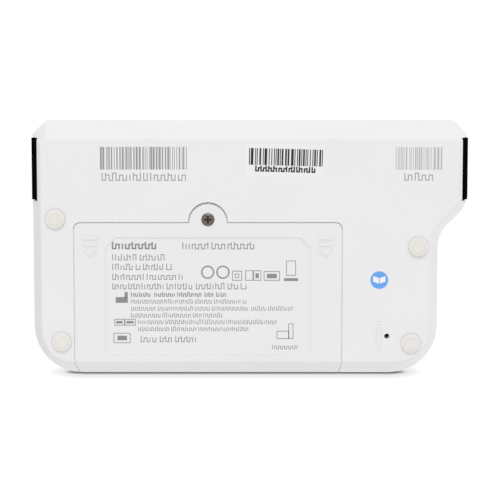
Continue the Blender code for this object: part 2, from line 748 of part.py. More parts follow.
def usb_notch(name):
    """Clearance round the charging socket through the right wall, down to the seam between the shells."""
    size = (0.010, USB_WIDTH + 2 * USB_CLEARANCE)
    low = min(ON_BOARD_Z - USB_CLEARANCE, SPLIT_Z + SEAM / 3)
    return block(name, (RIGHT, USB_Y), size, low, ON_BOARD_Z + USB_HEIGHT + USB_CLEARANCE)


def main_board_posts():
    return ((COVER_MIDDLE_X - 0.024, BATTERY_Y + 0.012), (COVER_MIDDLE_X + 0.024, BATTERY_Y - 0.010))


def front_board_posts():
    right = WINDOW_X + MODULE_LENGTH / 2 + 0.006
    return (
        (LEFT + 0.009, WINDOW_Y - 0.0018),
        (right, WINDOW_Y - MODULE_WIDTH / 2 + 0.003),
        (right, WINDOW_Y + MODULE_WIDTH / 2 - 0.0015),
    )


def band_box(name, grown, low):
    """The space of the black band across the head, from a level up to beyond the display side."""
    reach = RIGHT + 0.004
    far_y = TRAY_Y + PANEL_WIDTH / 2 + grown
    return box(name, (-reach, BAND_EDGE_Y - grown, low), (reach, far_y, TOP_Z + 0.004))


def front_case():
    """Top shell: display opening, key holes, seat of the black band, screw bosses and socket notch."""
    case = front_skin("front_case_skin", 0)
    cut(case, front_skin("front_cavity", FRONT_WALL, below=0.002))

    # Thicker under the black band, which lies in a seat of its own thickness
    band_low = PANEL_HIGH_Z + GAP
    backing = band_box("band_backing", 0.0015, band_low + 0.0001)
    keep(backing, front_skin("backing_limit", 0.0001))
    cut(backing, front_skin("backing_cavity", BAND_THICK + GAP + BAND_BACKING, below=0.002))
    join(case, backing)
    rooted = TOP_Z - FRONT_WALL / 2
    for i, place in enumerate(FEET):
        join(case, cylinder(f"front_boss_{i}", FRONT_BOSS_R, place, BOSS_MEET_Z + GAP, rooted, 14))
    post_low = FRONT_BOARD_Z + BOARD_THICK + GAP
    for i, place in enumerate(front_board_posts()):
        join(case, cylinder(f"front_post_{i}", 0.0019, place, post_low, rooted, 12))

    seat = band_box("band_seat", GAP, PANEL_HIGH_Z + 0.0001)
    cut(seat, front_skin("seat_floor", BAND_THICK + GAP, below=0.004))
    cut(case, seat)
    for i, place in enumerate(FEET):
        pilot_top = CASE_SCREW_TIP_Z + PILOT_SPARE
        cut(case, cylinder(f"case_pilot_{i}", PILOT_R, place, BOSS_MEET_Z - 0.001, pilot_top, 8))
    for i, place in enumerate(front_board_posts()):
        cut(case, cylinder(f"front_pilot_{i}", BOARD_PILOT_R, place, FRONT_BOARD_Z, CEILING_Z, 8))

    middle = (WINDOW_X, WINDOW_Y)
    lens_size = (WINDOW_LENGTH + 2 * GAP, WINDOW_WIDTH + 2 * GAP)
    lens_hole = rounded_rectangle(middle, lens_size, WINDOW_CORNER_R + GAP)
    cut(case, plate("window_seat", [lens_hole], TOP_Z - WINDOW_THICK - GAP / 2, TOP_Z + 0.001))
    screen_hole = rounded_rectangle(middle, (SCREEN_LENGTH, SCREEN_WIDTH), 0.0008)
    cut(case, plate("screen_hole", [screen_hole], CEILING_Z - 0.001, TOP_Z))
    low, high = CEILING_Z - 0.001, TOP_Z + 0.001
    for name, y in KEYS:
        cut(case, plate(f"{name}_key_hole", [key_outline(y, GAP)], low, high))
    cut(case, cylinder("power_key_hole", POWER_KEY_R + GAP, (KEY_X, POWER_KEY_Y), low, high, 24))
    cut(case, panel_window("front_window_left", -1, GAP), panel_window("front_window_right", 1, GAP))
    cut(case, usb_notch("front_usb_notch"))
    return smooth(piece(case, "front_case", WHITE_ABS))


def head_band():
    """Black gloss strip over the head, between the two end panels."""
    band = band_box("band", 0, PANEL_HIGH_Z + GAP)
    keep(band, front_skin("band_face", -PANEL_PROUD))
    cut(band, front_skin("band_inside", BAND_THICK, below=0.004))
    return smooth(piece(band, "head_band", BLACK_GLOSS))


def whole_skin(name, inset):
    """Both shells' outer form as one solid, drawn in by an inset or grown by a negative one."""
    skin = rear_skin(f"{name}_rear", inset)
    return join(skin, front_skin(f"{name}_front", inset, below=SEAM + 0.0001))


def end_panel_shell(name, side, inner_inset):
    """An end panel's curved plate. It fills its window in the case and stands a little proud."""
    shell = panel_window(name, side, 0)
    keep(shell, whole_skin(f"{name}_face", -PANEL_PROUD))
    return cut(shell, whole_skin(f"{name}_inside", inner_inset))


def right_end_panel():
    """Fixed black panel at the user's right, with a flange that holds it behind the wall."""
    panel = end_panel_shell("right_panel", 1, PANEL_FLANGE_INSET + PANEL_FLANGE_THICK)
    half = PANEL_WIDTH / 2 + PANEL_FLANGE
    flange = box(
        "panel_flange",
        (RIGHT - 0.012, TRAY_Y - half - PANEL_LEAN, PANEL_LOW_Z - PANEL_FLANGE),
        (RIGHT, TRAY_Y + half, PANEL_HIGH_Z - GAP),
    )
    keep(flange, whole_skin("flange_face", PANEL_FLANGE_INSET))
    cut(flange, whole_skin("flange_inside", PANEL_FLANGE_INSET + PANEL_FLANGE_THICK))
    join(panel, flange)
    return smooth(piece(panel, "right_end_panel", BLACK_GLOSS))


def tray_end_panel():
    """Black panel on the tray's outer end, with the socket that takes the tray's tongue."""
    panel = end_panel_shell("tray_panel", -1, PANEL_THICK - PANEL_PROUD)
    back = TRAY_LEFT - GAP
    socket = block(
        "tray_socket",
        (back - 0.0025, TRAY_Y),
        (0.005, TRAY_WIDTH - 0.001),
        TRAY_Z,
        TRAY_TOP_Z,
    )
    join(panel, socket)
    tongue_hole = block(
        "tongue_hole",
        (back - 0.001, TRAY_Y),
        (0.0024, tongue_size()[1] + 2 * GAP),
        TRAY_Z + 0.0008 - GAP,
        TRAY_TOP_Z - 0.0018 + GAP,
    )
    cut(panel, tongue_hole)
    return smooth(piece(panel, "tray_end_panel", BLACK_GLOSS))


def tongue_size():
    return (0.0015, 0.005)


def rack():
    """Teeth for the tray's near side, one gap in line with the drive pinion. They reach into the tray."""
    start = TRAY_LEFT + 0.001
    end = TRAY_LEFT + TRAY_LENGTH - 0.0005
    tip_y = RACK_PITCH_Y - TOOTH_ADDENDUM * MODULE
    base_y = RACK_PITCH_Y + TOOTH_DEDENDUM * MODULE + RACK_EMBED
    slope = math.tan(math.radians(20))
    tip_half = PITCH / 4 - TOOTH_ADDENDUM * MODULE * slope - BACKLASH / 2
    base_half = PITCH / 4 + (base_y - RACK_PITCH_Y) * slope - BACKLASH / 2
    first = math.ceil((start + base_half - DRIVE_X) / PITCH - 0.5)
    last = math.floor((end - base_half - DRIVE_X) / PITCH - 0.5)
    low = TRAY_Z + RACK_LIFT
    bm = bmesh.new()
    for tooth in range(first, last + 1):
        x = DRIVE_X + (tooth + 0.5) * PITCH
        corners = ((-base_half, base_y), (-tip_half, tip_y), (tip_half, tip_y), (base_half, base_y))
        bm.faces.new([bm.verts.new((x + dx, y, low)) for dx, y in corners])
    raised = bmesh.ops.extrude_face_region(bm, geom=list(bm.faces))["geom"]
    lifted = [part for part in raised if isinstance(part, bmesh.types.BMVert)]
    bmesh.ops.translate(bm, verts=lifted, vec=(0, 0, TRAY_Z + RACK_FACE - low))
    return object_from("rack", mesh_from("rack", bm))


def strip_tray():
    """White tray: a groove for one test strip, a pocket for the tile and a rack along its near side."""
    right = TRAY_LEFT + TRAY_LENGTH
    half = TRAY_WIDTH / 2
    tray = box("tray_bar", (TRAY_LEFT, TRAY_Y - half, TRAY_Z), (right, TRAY_Y + half, TRAY_TOP_Z))
    join(tray, rack())
    length, width = tongue_size()
    tongue = block(
        "tongue",
        (TRAY_LEFT - length / 2 + 0.0002, TRAY_Y),
        (length + 0.0004, width),
        TRAY_Z + 0.0008,
        TRAY_TOP_Z - 0.0018,
    )
    join(tray, tongue)
    groove_start = TRAY_LEFT + STRIP_END_WALL
    groove = rounded_rectangle(
        (groove_start + STRIP_LENGTH / 2, TRAY_Y), (STRIP_LENGTH, STRIP_WIDTH), 0.0008, 2
    )
    cut(tray, plate("strip_groove", [groove], TRAY_TOP_Z - STRIP_DEPTH, TRAY_TOP_Z + 0.001))
    dip = cylinder("finger_dip", 0.004, (groove_start + 0.007, 0), -half - 0.001, half + 0.001, 24)
    dip.rotation_euler.x = math.pi / 2
    dip.location = (groove_start + 0.007, TRAY_Y, TRAY_TOP_Z + 0.0022)
    cut(tray, dip)
    pocket_low = TRAY_TOP_Z - TILE_THICK - GAP
    cut(tray, block("tile_pocket", TILE_PLACE, (TILE_LENGTH, STRIP_WIDTH), pocket_low, TRAY_TOP_Z + 0.001))
    return smooth(piece(tray, "strip_tray", WHITE_POM))


def white_reference():
    """Ceramic tile that the optics read before each strip."""
    size = (TILE_LENGTH - 2 * GAP, STRIP_WIDTH - 2 * GAP)
    tile = block("tile", TILE_PLACE, size, TRAY_TOP_Z - TILE_THICK, TRAY_TOP_Z - 0.0001)
    return piece(tile, "white_reference", WHITE_POM)


def tray_guide():
    """Channel that the tray slides in: one extrusion with lips over the tray, open beside the pinion."""
    half = GUIDE_INNER
    near = -half - TOOTH_DEDENDUM * MODULE - TOOTH_ADDENDUM * MODULE - 0.0002
    rack_top = TRAY_Z + RACK_FACE + SLIDE_GAP
    low = GUIDE_Z
    floor = GUIDE_Z + GUIDE_BASE
    top = GUIDE_TOP_Z
    lip = top - GUIDE_LIP
    section = [
        (near - GUIDE_WALL, low),
        (half + GUIDE_WALL, low),
        (half + GUIDE_WALL, top),
        (half - GUIDE_LIP, top),
        (half - GUIDE_LIP, lip),
        (half, lip),
        (half, floor),
        (near, floor),
        (near, rack_top),
        (-half, rack_top),
        (-half, lip),
        (-half + GUIDE_LIP, lip),
        (-half + GUIDE_LIP, top),
        (near - GUIDE_WALL, top),
    ]
    guide = plate("guide_section", [section], -GUIDE_LENGTH / 2, GUIDE_LENGTH / 2)
    lay_along_x(guide, (GUIDE_LEFT + GUIDE_LENGTH / 2, TRAY_Y, 0))
    reach = PINION_R + MODULE + 0.0006
    opening = box(
        "pinion_opening",
        (DRIVE_X - reach, TRAY_Y + near - GUIDE_WALL - 0.001, floor - GUIDE_BASE - 0.001),
        (DRIVE_X + reach, TRAY_Y + near + 0.0001, top + 0.001),
    )
    shelf = box(
        "shelf_opening",
        (DRIVE_X - reach, TRAY_Y + near - GUIDE_WALL - 0.001, floor + 0.00001),
        (DRIVE_X + reach, TRAY_Y - half + 0.00001, top + 0.001),
    )
    cut(guide, opening, shelf)
    through = floor + 0.001
    for i, x in enumerate(GUIDE_SCREW_X):
        place = (x, TRAY_Y)
        cut(guide, cylinder(f"guide_hole_{i}", SCREW_SHANK_R + GAP, place, low - 0.001, through, 12))
        cut(guide, cylinder(f"guide_sink_{i}", SCREW_HEAD_R + GAP, place, floor - 0.0013, through, 16))
    return piece(guide, "tray_guide", BLACK_MATTE)


def involute(angle):
    return math.tan(angle) - angle


def gear_outline(teeth, phase, middle=(0, 0)):
    """Involute teeth with straight flanks from root to tip, four points to a tooth."""
    pressure = math.radians(20)
    pitch_r = MODULE * teeth / 2
    base_r = pitch_r * math.cos(pressure)
    tip_r = pitch_r + TOOTH_ADDENDUM * MODULE
    root_r = pitch_r - TOOTH_DEDENDUM * MODULE
    half_pitch = math.pi / (2 * teeth) - BACKLASH / (2 * pitch_r)
    tip_half = half_pitch + involute(pressure) - involute(math.acos(base_r / tip_r))
    root_half = half_pitch + involute(pressure) - involute(math.acos(min(1, base_r / max(root_r, base_r))))
    corners = ((root_r, -root_half), (tip_r, -tip_half), (tip_r, tip_half), (root_r, root_half))
    points = []
    for tooth in range(teeth):
        turn = phase + tooth * 2 * math.pi / teeth
        for radius, angle in corners:
            x = middle[0] + radius * math.cos(turn + angle)
            y = middle[1] + radius * math.sin(turn + angle)
            points.append((x, y))
    return points


def drive_gear():
    """Moulded double gear: the wheel that the motor turns and the pinion that moves the rack."""
    wheel_phase = MOTOR_ANGLE + math.pi / WHEEL_TEETH
    gear = plate("wheel", [gear_outline(WHEEL_TEETH, wheel_phase)], WHEEL_Z, WHEEL_Z + WHEEL_FACE)
    hub = cylinder("hub", PINION_R * 0.7, (0, 0), WHEEL_Z + WHEEL_FACE / 2, TRAY_Z + RACK_FACE / 2, 16)
    pinion = plate("pinion", [gear_outline(PINION_TEETH, math.pi / 2)], TRAY_Z, TRAY_Z + RACK_FACE)
    join(gear, hub, pinion)
    lighten = turned(
        "web",
        (
            (PINION_R * 0.85, WHEEL_Z + WHEEL_FACE + 0.001),
            (WHEEL_R * 0.82, WHEEL_Z + WHEEL_FACE + 0.001),
            (WHEEL_R * 0.82, WHEEL_Z + WHEEL_FACE * 0.6),
            (PINION_R * 0.85, WHEEL_Z + WHEEL_FACE * 0.6),
        ),
        (0, 0),
        16,
        hollow=True,
    )
    bore_top = TRAY_Z + RACK_FACE + 0.001
    bore = cylinder("gear_bore", SHAFT_R + SHAFT_CLEARANCE, (0, 0), WHEEL_Z - 0.001, bore_top, 16)
    cut(gear, lighten, bore)
    for shape in (gear, hub, pinion, lighten, bore):
        shape.location.x += DRIVE_X
        shape.location.y += DRIVE_Y
    return piece(gear, "drive_gear", WHITE_POM)


def shaft_top():
    return TRAY_Z + RACK_FACE + 0.0012


def gear_shaft():
    profile = (
        (0, shaft_top()),
        (SHAFT_R * 0.8, shaft_top()),
        (SHAFT_R, shaft_top() - 0.0002),
        (SHAFT_R, SHAFT_FOOT_Z + 0.0002),
        (SHAFT_R * 0.8, SHAFT_FOOT_Z),
        (0, SHAFT_FOOT_Z),
    )
    return smooth(piece(turned("shaft", profile, (DRIVE_X, DRIVE_Y), 12), "gear_shaft", STEEL))


def gear_clip():
    """Retaining ring over the drive gear."""
    low = TRAY_Z + RACK_FACE + 0.0002
    outer = arc((DRIVE_X, DRIVE_Y), SHAFT_R * 2.4, math.radians(-60), math.radians(240), 14)
    inner = arc((DRIVE_X, DRIVE_Y), SHAFT_R + 0.0001, math.radians(240), math.radians(-60), 14)
    return piece(plate("clip", [outer + inner], low, low + 0.0005), "gear_clip", STEEL)


def drive_motor():
    """Small can stepper that stands in its seat under the tray guide."""
    low = FLOOR_Z + GAP
    high = WHEEL_Z - GAP
    profile = (
        (MOTOR_SHAFT_R + GAP / 2, high),
        (MOTOR_R * 0.35, high),
        (MOTOR_R * 0.35, high - 0.0005),
        (MOTOR_R - 0.0004, high - 0.0005),
        (MOTOR_R, high - 0.0009),
        (MOTOR_R, low),
        (MOTOR_SHAFT_R + GAP / 2, low),
    )
    can = turned("motor_can", profile, (MOTOR_X, MOTOR_Y), 18, hollow=True)
    return smooth(piece(can, "drive_motor", STEEL))


def motor_rotor():
    """Motor shaft and the brass pinion pressed on it."""
    place = (MOTOR_X, MOTOR_Y)
    face_z = WHEEL_Z + WHEEL_FACE
    shaft = cylinder("rotor_shaft", MOTOR_SHAFT_R, place, FLOOR_Z + 0.001, face_z + 0.0006, 12)
    piece(smooth(shaft), "motor_shaft", STEEL)
    phase = MOTOR_ANGLE + math.pi
    pinion = plate("pinion_teeth", [gear_outline(MOTOR_TEETH, phase)], WHEEL_Z, face_z + 0.0002)
    bore = cylinder("pinion_bore", MOTOR_SHAFT_R + 0.0001, place, WHEEL_Z - 0.001, face_z + 0.001, 12)
    pinion.location.x = MOTOR_X
    pinion.location.y = MOTOR_Y
    cut(pinion, bore)
    piece(pinion, "motor_pinion", BRASS)


def case_screw(name, place, head_z, head_r, head_height, tip_z, finish, point_up):
    """A pan head screw along Z. point_up says which way its tip faces."""
    sign = 1 if point_up else -1
    levels = [
        (0, tip_z),
        (SCREW_SHANK_R * 0.5, tip_z),
        (SCREW_SHANK_R, tip_z - sign * 0.0008),
        (SCREW_SHANK_R, head_z),
        (head_r, head_z),
        (head_r, head_z - sign * head_height * 0.55),
        (head_r * 0.72, head_z - sign * head_height),
        (0, head_z - sign * head_height),
    ]
    profile = levels if point_up else levels[::-1]
    return smooth(piece(turned(f"{name}_turned", profile, place, 10), name, finish))


def case_screws():
    for i, place in enumerate(FEET):
        seat = SCREW_WELL_Z - GAP / 2
        case_screw(f"case_screw_{i + 1}", place, seat, SCREW_HEAD_R, 0.0014, CASE_SCREW_TIP_Z, STEEL, True)
    sunk = GUIDE_Z + GUIDE_BASE - 0.0012
    tip = GUIDE_Z - GUIDE_SCREW_BITE
    for i, x in enumerate(GUIDE_SCREW_X):
        case_screw(f"guide_screw_{i + 1}", (x, TRAY_Y), sunk, SCREW_HEAD_R, 0.001, tip, STEEL, False)
    for i, place in enumerate(main_board_posts()):
        head = MAIN_BOARD_Z + MAIN_BOARD_THICK + 0.0001
        small_screw(f"main_board_screw_{i + 1}", place, head, TUB_TOP_Z + 0.0007, False)
    for i, place in enumerate(front_board_posts()):
        small_screw(f"front_board_screw_{i + 1}", place, FRONT_BOARD_Z - 0.0001, CEILING_Z - 0.0007, True)


def small_screw(name, place, head_z, tip_z, point_up):
    sign = 1 if point_up else -1
    levels = [
        (0, tip_z),
        (0.0007, tip_z),
        (0.0007, head_z),
        (0.0016, head_z),
        (0.0012, head_z - sign * 0.0009),
        (0, head_z - sign * 0.0009),
    ]
    profile = levels if point_up else levels[::-1]
    return smooth(piece(turned(f"{name}_turned", profile, place, 8), name, STEEL))


def feet():
    """Rubber plugs that close the case screw wells and stand the analyzer up. Each head covers its well."""
    stem_top = SCREW_WELL_Z - 0.0024
    head_top = UNDER_Z - GAP
    for i, place in enumerate(FEET):
        profile = (
            (0, stem_top),
            (SCREW_HEAD_R - 0.0004, stem_top),
            (SCREW_HEAD_R, head_top),
            (FOOT_R, head_top),
            (FOOT_R - 0.0001, head_top * 0.5),
            (FOOT_FLAT_R, 0),
            (0, 0),
        )
        smooth(piece(turned(f"foot_{i}_turned", profile, place, 18), f"foot_{i + 1}", FOOT_RUBBER))


def battery_cover():
    """Cover over the battery: it wraps the front edge, carries the label recess and the two slide marks."""
    cover = plate("cover_plan", [cover_outline(0)], -0.001, SPLIT_Z - GAP)
    keep(cover, rear_skin("cover_face", 0))
    cut(cover, rear_skin("cover_inside", COVER_THICK, top=0.004))
    recess = label_outline()
    cut(cover, plate("label_recess", [recess], -0.001, UNDER_Z + LABEL_DEPTH))
    bar_size = (GRIP_BAR_LENGTH, GRIP_BAR_WIDTH)
    for side in (-1, 1):
        middle = COVER_MIDDLE_X + side * (COVER_WIDTH / 2 - 0.0045)
        top = COVER_EDGE_Y - 0.0042
        for i in range(2):
            bar = rounded_rectangle((middle, top - i * GRIP_PITCH), bar_size, GRIP_BAR_WIDTH / 2.1, 2)
            join(cover, plate(f"grip_bar_{side}_{i}", [bar], UNDER_Z - GRIP_RELIEF, UNDER_Z + 0.0004))
        arrow_top = top - 2 * GRIP_PITCH + GRIP_BAR_WIDTH / 2
        arrow = [
            (middle - GRIP_ARROW_WIDTH / 2, arrow_top),
            (middle, arrow_top - GRIP_ARROW_HEIGHT),
            (middle + GRIP_ARROW_WIDTH / 2, arrow_top),
        ]
        join(cover, plate(f"grip_arrow_{side}", [arrow], UNDER_Z - GRIP_RELIEF, UNDER_Z + 0.0004))
    cut(cover, cylinder("cover_head_sink", 0.0021, COVER_SCREW, -0.001, UNDER_Z + 0.0006, 20))
    cut(cover, cylinder("cover_shank_hole", 0.0013, COVER_SCREW, -0.001, UNDER_Z + 0.003, 14))
    return smooth(piece(cover, "battery_cover", WHITE_ABS))


def label_outline():
    """The shallow field for the rating label: chamfered corners, larger on the head side."""
    right = COVER_MIDDLE_X + LABEL_WIDTH / 2
    left = COVER_MIDDLE_X - LABEL_WIDTH / 2
    top = LABEL_TOP_Y
    low = LABEL_LOW_Y
    return [
        (left + LABEL_CHAMFER_FRONT, low),
        (right - LABEL_CHAMFER_FRONT, low),
        (right, low + LABEL_CHAMFER_FRONT),
        (right, top - LABEL_CHAMFER_TOP),
        (right - LABEL_CHAMFER_TOP, top),
        (left + LABEL_CHAMFER_TOP, top),
        (left, top - LABEL_CHAMFER_TOP),
        (left, low + LABEL_CHAMFER_FRONT),
    ]


def battery_cover_screw():
    """Cross recess screw that holds the cover's tab."""
    head = UNDER_Z + 0.0005
    profile = (
        (0, PINHOLE_BOSS_Z - 0.0022),
        (0.0005, PINHOLE_BOSS_Z - 0.0022),
        (0.00095, PINHOLE_BOSS_Z - 0.003),
        (0.00095, head),
        (0.0018, head),
        (0.0018, UNDER_Z - 0.00005),
        (0.0014, UNDER_Z - 0.0003),
        (0, UNDER_Z - 0.00035),
    )
    screw = turned("cover_screw_turned", profile, COVER_SCREW, 20)
    for i, size in enumerate(((0.0021, 0.0005), (0.0005, 0.0021))):
        cut(screw, block(f"cross_{i}", COVER_SCREW, size, UNDER_Z - 0.001, UNDER_Z + 0.0003))
    return piece(screw, "battery_cover_screw", NICKEL)


def battery_pack():
    outline = rounded_rectangle((COVER_MIDDLE_X, BATTERY_Y), (BATTERY_LENGTH, BATTERY_WIDTH), 0.003, 4)
    pack = plate("pack", [outline], BATTERY_Z, BATTERY_Z + BATTERY_THICK)
    return smooth(piece(bevelled(pack, 0.0008, 2), "battery_pack", BATTERY_WRAP))


def battery_contacts():
    """Contact block in the tub's end wall, with three blades towards the pack."""
    end = COVER_MIDDLE_X - BATTERY_LENGTH / 2 - GAP
    low = BATTERY_Z + 0.0018 + GAP
    body = box(
        "contact_body",
        (end - CONTACT_DEPTH, BATTERY_Y - CONTACT_WIDTH / 2, low),
        (end - 0.0006, BATTERY_Y + CONTACT_WIDTH / 2, low + CONTACT_HEIGHT),
    )
    for i in range(3):
        y = BATTERY_Y + (i - 1) * CONTACT_WIDTH / 3.6
        blade_low, blade_high = low + 0.0008, low + CONTACT_HEIGHT - 0.0008
        join(body, block(f"blade_{i}", (end - 0.001, y), (0.002, 0.0012), blade_low, blade_high))
    return piece(body, "battery_contacts", BLACK_MATTE)


def main_board():
    """Main circuit board over the battery tub, with a tongue that carries the charging socket."""
    left, right = LEFT + 0.0125, RIGHT - 0.0167
    low, high = FRONT + 0.0078, COVER_EDGE_Y
    tongue = RIGHT - FRONT_WALL - 0.0018
    reach = USB_WIDTH / 2 + 0.0018
    outline = [
        (left, low),
        (right, low),
        (right, USB_Y - reach),
        (tongue, USB_Y - reach),
        (tongue, USB_Y + reach),
        (right, USB_Y + reach),
        (right, high),
        (left, high),
    ]
    board = plate("main_board_plan", [outline], MAIN_BOARD_Z, MAIN_BOARD_Z + MAIN_BOARD_THICK)
    for i, place in enumerate(main_board_posts()):
        cut(board, cylinder(f"main_hole_{i}", 0.001, place, MAIN_BOARD_Z - 0.001, MAIN_BOARD_Z + 0.004, 12))
    return piece(board, "main_board", BOARD_GREEN)


def front_board():
    """Board behind the display and the keys."""
    left, right = LEFT + 0.0122, RIGHT - 0.0137
    low, high = FRONT + 0.0056, BAND_EDGE_Y - 0.0022
    post = front_board_posts()[0]
    outline = [
        (left, low),
        (right, low),
        (right, high),
        (left, high),
        (left, post[1] + 0.005),
        (post[0] - 0.0024, post[1] + 0.005),
        (post[0] - 0.0024, post[1] - 0.005),
        (left, post[1] - 0.005),
    ]
    board = plate("front_board_plan", [outline], FRONT_BOARD_Z, FRONT_BOARD_Z + BOARD_THICK)
    through = (FRONT_BOARD_Z - 0.001, FRONT_BOARD_Z + BOARD_THICK + 0.001)
    for i, place in enumerate(front_board_posts()):
        cut(board, cylinder(f"front_hole_{i}", 0.001, place, *through, 12))
    return piece(board, "front_board", BOARD_GREEN)


def board_link():
    """Header that joins the main board to the front board."""
    middle = (WINDOW_X + 0.016, COVER_EDGE_Y - 0.0035)
    link = block("link", middle, (0.020, 0.004), ON_BOARD_Z, FRONT_BOARD_Z - GAP)
    return piece(link, "board_link", BLACK_MATTE)


def radio_module():
    """Small radio board soldered on the main board, with its screening can."""
    middle = (RADIO_X, RADIO_Y)
    can_y = RADIO_Y - (RADIO_SIZE[1] - RADIO_CAN) / 2 + 0.0015
    base = block("radio_base", middle, RADIO_SIZE, ON_BOARD_Z, ON_BOARD_Z + 0.0008)
    can_top = ON_BOARD_Z + RADIO_HEIGHT
    join(base, block("radio_can", (RADIO_X, can_y), (RADIO_CAN, RADIO_CAN), ON_BOARD_Z + 0.0004, can_top))
    return piece(base, "radio_module", STEEL)


def usb_socket():
    """Charging socket: a folded steel shell, open outwards, with its contact tongue."""
    outer = RIGHT - 0.0004
    section = rounded_rectangle((0, 0), (USB_WIDTH, USB_HEIGHT), 0.0006, 2)
    hollow = rounded_rectangle((0, 0), (USB_WIDTH - 0.0008, USB_HEIGHT - 0.0008), 0.0004, 2)
    shell = plate("usb_shell", [section], -USB_DEPTH / 2, USB_DEPTH / 2)
    mouth = plate("usb_mouth", [hollow], -USB_DEPTH / 2 + 0.0008, USB_DEPTH / 2 + 0.001)
    blade_size = (USB_WIDTH * 0.6, USB_HEIGHT * 0.2)
    blade = block("usb_blade", (0, 0), blade_size, -USB_DEPTH / 2, USB_DEPTH / 2 - 0.0008)
    cut(shell, mouth)
    join(shell, blade)
    for tool in (shell, mouth, blade):
        lay_along_x(tool, (outer - USB_DEPTH / 2, USB_Y, ON_BOARD_Z + USB_HEIGHT / 2))
    return piece(shell, "usb_socket", STEEL)


def optic_housing():
    """Black light block over the tray: one viewing hole and two slanted lamp holes."""
    width = 2 * (GUIDE_INNER + GUIDE_WALL)
    middle = (OPTIC_X, TRAY_Y)
    low, high = OPTIC_Z, OPTIC_Z + OPTIC_HEIGHT
    housing = block("optic_block", middle, (OPTIC_LENGTH, width), low, high)
    pocket = block(
        "optic_pocket",
        middle,
        (OPTIC_LENGTH - 2 * OPTIC_POCKET_MARGIN, width - 2 * OPTIC_POCKET_MARGIN),
        high - OPTIC_POCKET_DEPTH,
        high + 0.001,
    )
    cut(housing, pocket)
    cut(housing, cylinder("view_hole", APERTURE_R, middle, low - 0.001, high, 12))
    floor_middle = low + (OPTIC_HEIGHT - OPTIC_POCKET_DEPTH) / 2
    for side in (-1, 1):
        hole = cylinder(f"lamp_hole_{side}", LED_R, (0, 0), -0.004, 0.004, 10)
        hole.rotation_euler.y = side * math.radians(38)
        hole.location = (OPTIC_X + side * LED_SPACING * 0.34, TRAY_Y, floor_middle)
        cut(housing, hole)
    return piece(housing, "optic_housing", BLACK_MATTE)


def optic_board():
    width = 2 * (GUIDE_INNER + GUIDE_WALL)
    high = OPTIC_BOARD_Z + OPTIC_BOARD_THICK
    board = block("optic_board_plan", (OPTIC_X, TRAY_Y), (OPTIC_LENGTH, width), OPTIC_BOARD_Z, high)
    return piece(board, "optic_board", BOARD_GREEN)


def optic_parts():
    """Colour sensor and two lamps under the optic board, inside the pocket."""
    high = OPTIC_Z + OPTIC_HEIGHT
    low = high - OPTIC_POCKET_DEPTH + GAP
    piece(block("sensor_chip", (OPTIC_X, TRAY_Y), (0.0032, 0.0028), low, high), "light_sensor", BLACK_MATTE)
    profile = (
        (0, high),
        (0.0016, high),
        (0.0016, high - 0.0005),
        (LED_R, high - 0.0007),
        (LED_R * 0.7, low),
        (0, low),
    )
    for side, name in ((-1, "lamp_1"), (1, "lamp_2")):
        x = OPTIC_X + side * LED_SPACING / 2
        smooth(piece(turned(f"{name}_turned", profile, (x, TRAY_Y), 14), name, CLEAR_EPOXY))


def key_outline(y, grown):
    size = (KEY_LENGTH + 2 * grown, KEY_WIDTH + 2 * grown)
    return rounded_rectangle((KEY_X, y), size, KEY_WIDTH / 2 - 0.0002 + grown, 4)


def key_switch(name, place):
    """A board-mounted switch and its plunger, under one key."""
    low = FRONT_BOARD_Z + BOARD_THICK + GAP / 2
    high = low + SWITCH_HEIGHT
    body = block(f"{name}_body", place, (SWITCH_SIDE, SWITCH_SIDE), low, high)
    cut(body, cylinder(f"{name}_bore", PLUNGER_R + 0.00015, place, low + 0.0002, high + 0.001, 12))
    piece(body, f"{name}_switch", STEEL)
    plunger = cylinder(f"{name}_stem", PLUNGER_R, place, low + 0.0003 + KEY_TRAVEL, plunger_top(), 12)
    piece(smooth(plunger), f"{name}_plunger", BLACK_MATTE)


def plunger_top():
    return FRONT_BOARD_Z + BOARD_THICK + GAP / 2 + SWITCH_HEIGHT + 0.0007


def key_caps():
    """Four keys with flanges that keep them behind the front case."""
    low = plunger_top() + 0.0001
    flange_top = CEILING_Z - 0.0002
    for name, y in KEYS:
        cap = plate(f"{name}_cap", [key_outline(y, 0)], low + 0.0003, HEIGHT)
        bevelled(cap, 0.0006, 2)
        join(cap, plate(f"{name}_flange", [key_outline(y, KEY_FLANGE)], low, flange_top))
        smooth(piece(cap, f"{name}_key", GREY_KEY))
        key_switch(name, (KEY_X, y))
    place = (KEY_X, POWER_KEY_Y)
    profile = (
        (0, HEIGHT),
        (POWER_KEY_R - 0.0006, HEIGHT),
        (POWER_KEY_R - 0.0002, HEIGHT - 0.0002),
        (POWER_KEY_R, HEIGHT - 0.0006),
        (POWER_KEY_R, flange_top),
        (POWER_KEY_R + KEY_FLANGE, flange_top),
        (POWER_KEY_R + KEY_FLANGE, low),
        (0, low),
    )
    smooth(piece(turned("power_cap", profile, place, 24), "power_key", GREY_KEY))
    key_switch("power", place)


def reset_switch():
    """Switch under the main board, worked through the pinhole with a wire."""
    place = (RESET_X, RESET_Y)
    high = MAIN_BOARD_Z - GAP / 2
    low = high - 0.0017
    body = block("reset_body", place, (SWITCH_SIDE, SWITCH_SIDE), low, high)
    cut(body, cylinder("reset_bore", PLUNGER_R + 0.00015, place, low - 0.001, high - 0.0002, 12))
    piece(body, "reset_switch", STEEL)
    stem = cylinder("reset_stem", PLUNGER_R, place, low - 0.0008, high - 0.0003 - RESET_TRAVEL, 12)
    piece(smooth(stem), "reset_plunger", BLACK_MATTE)


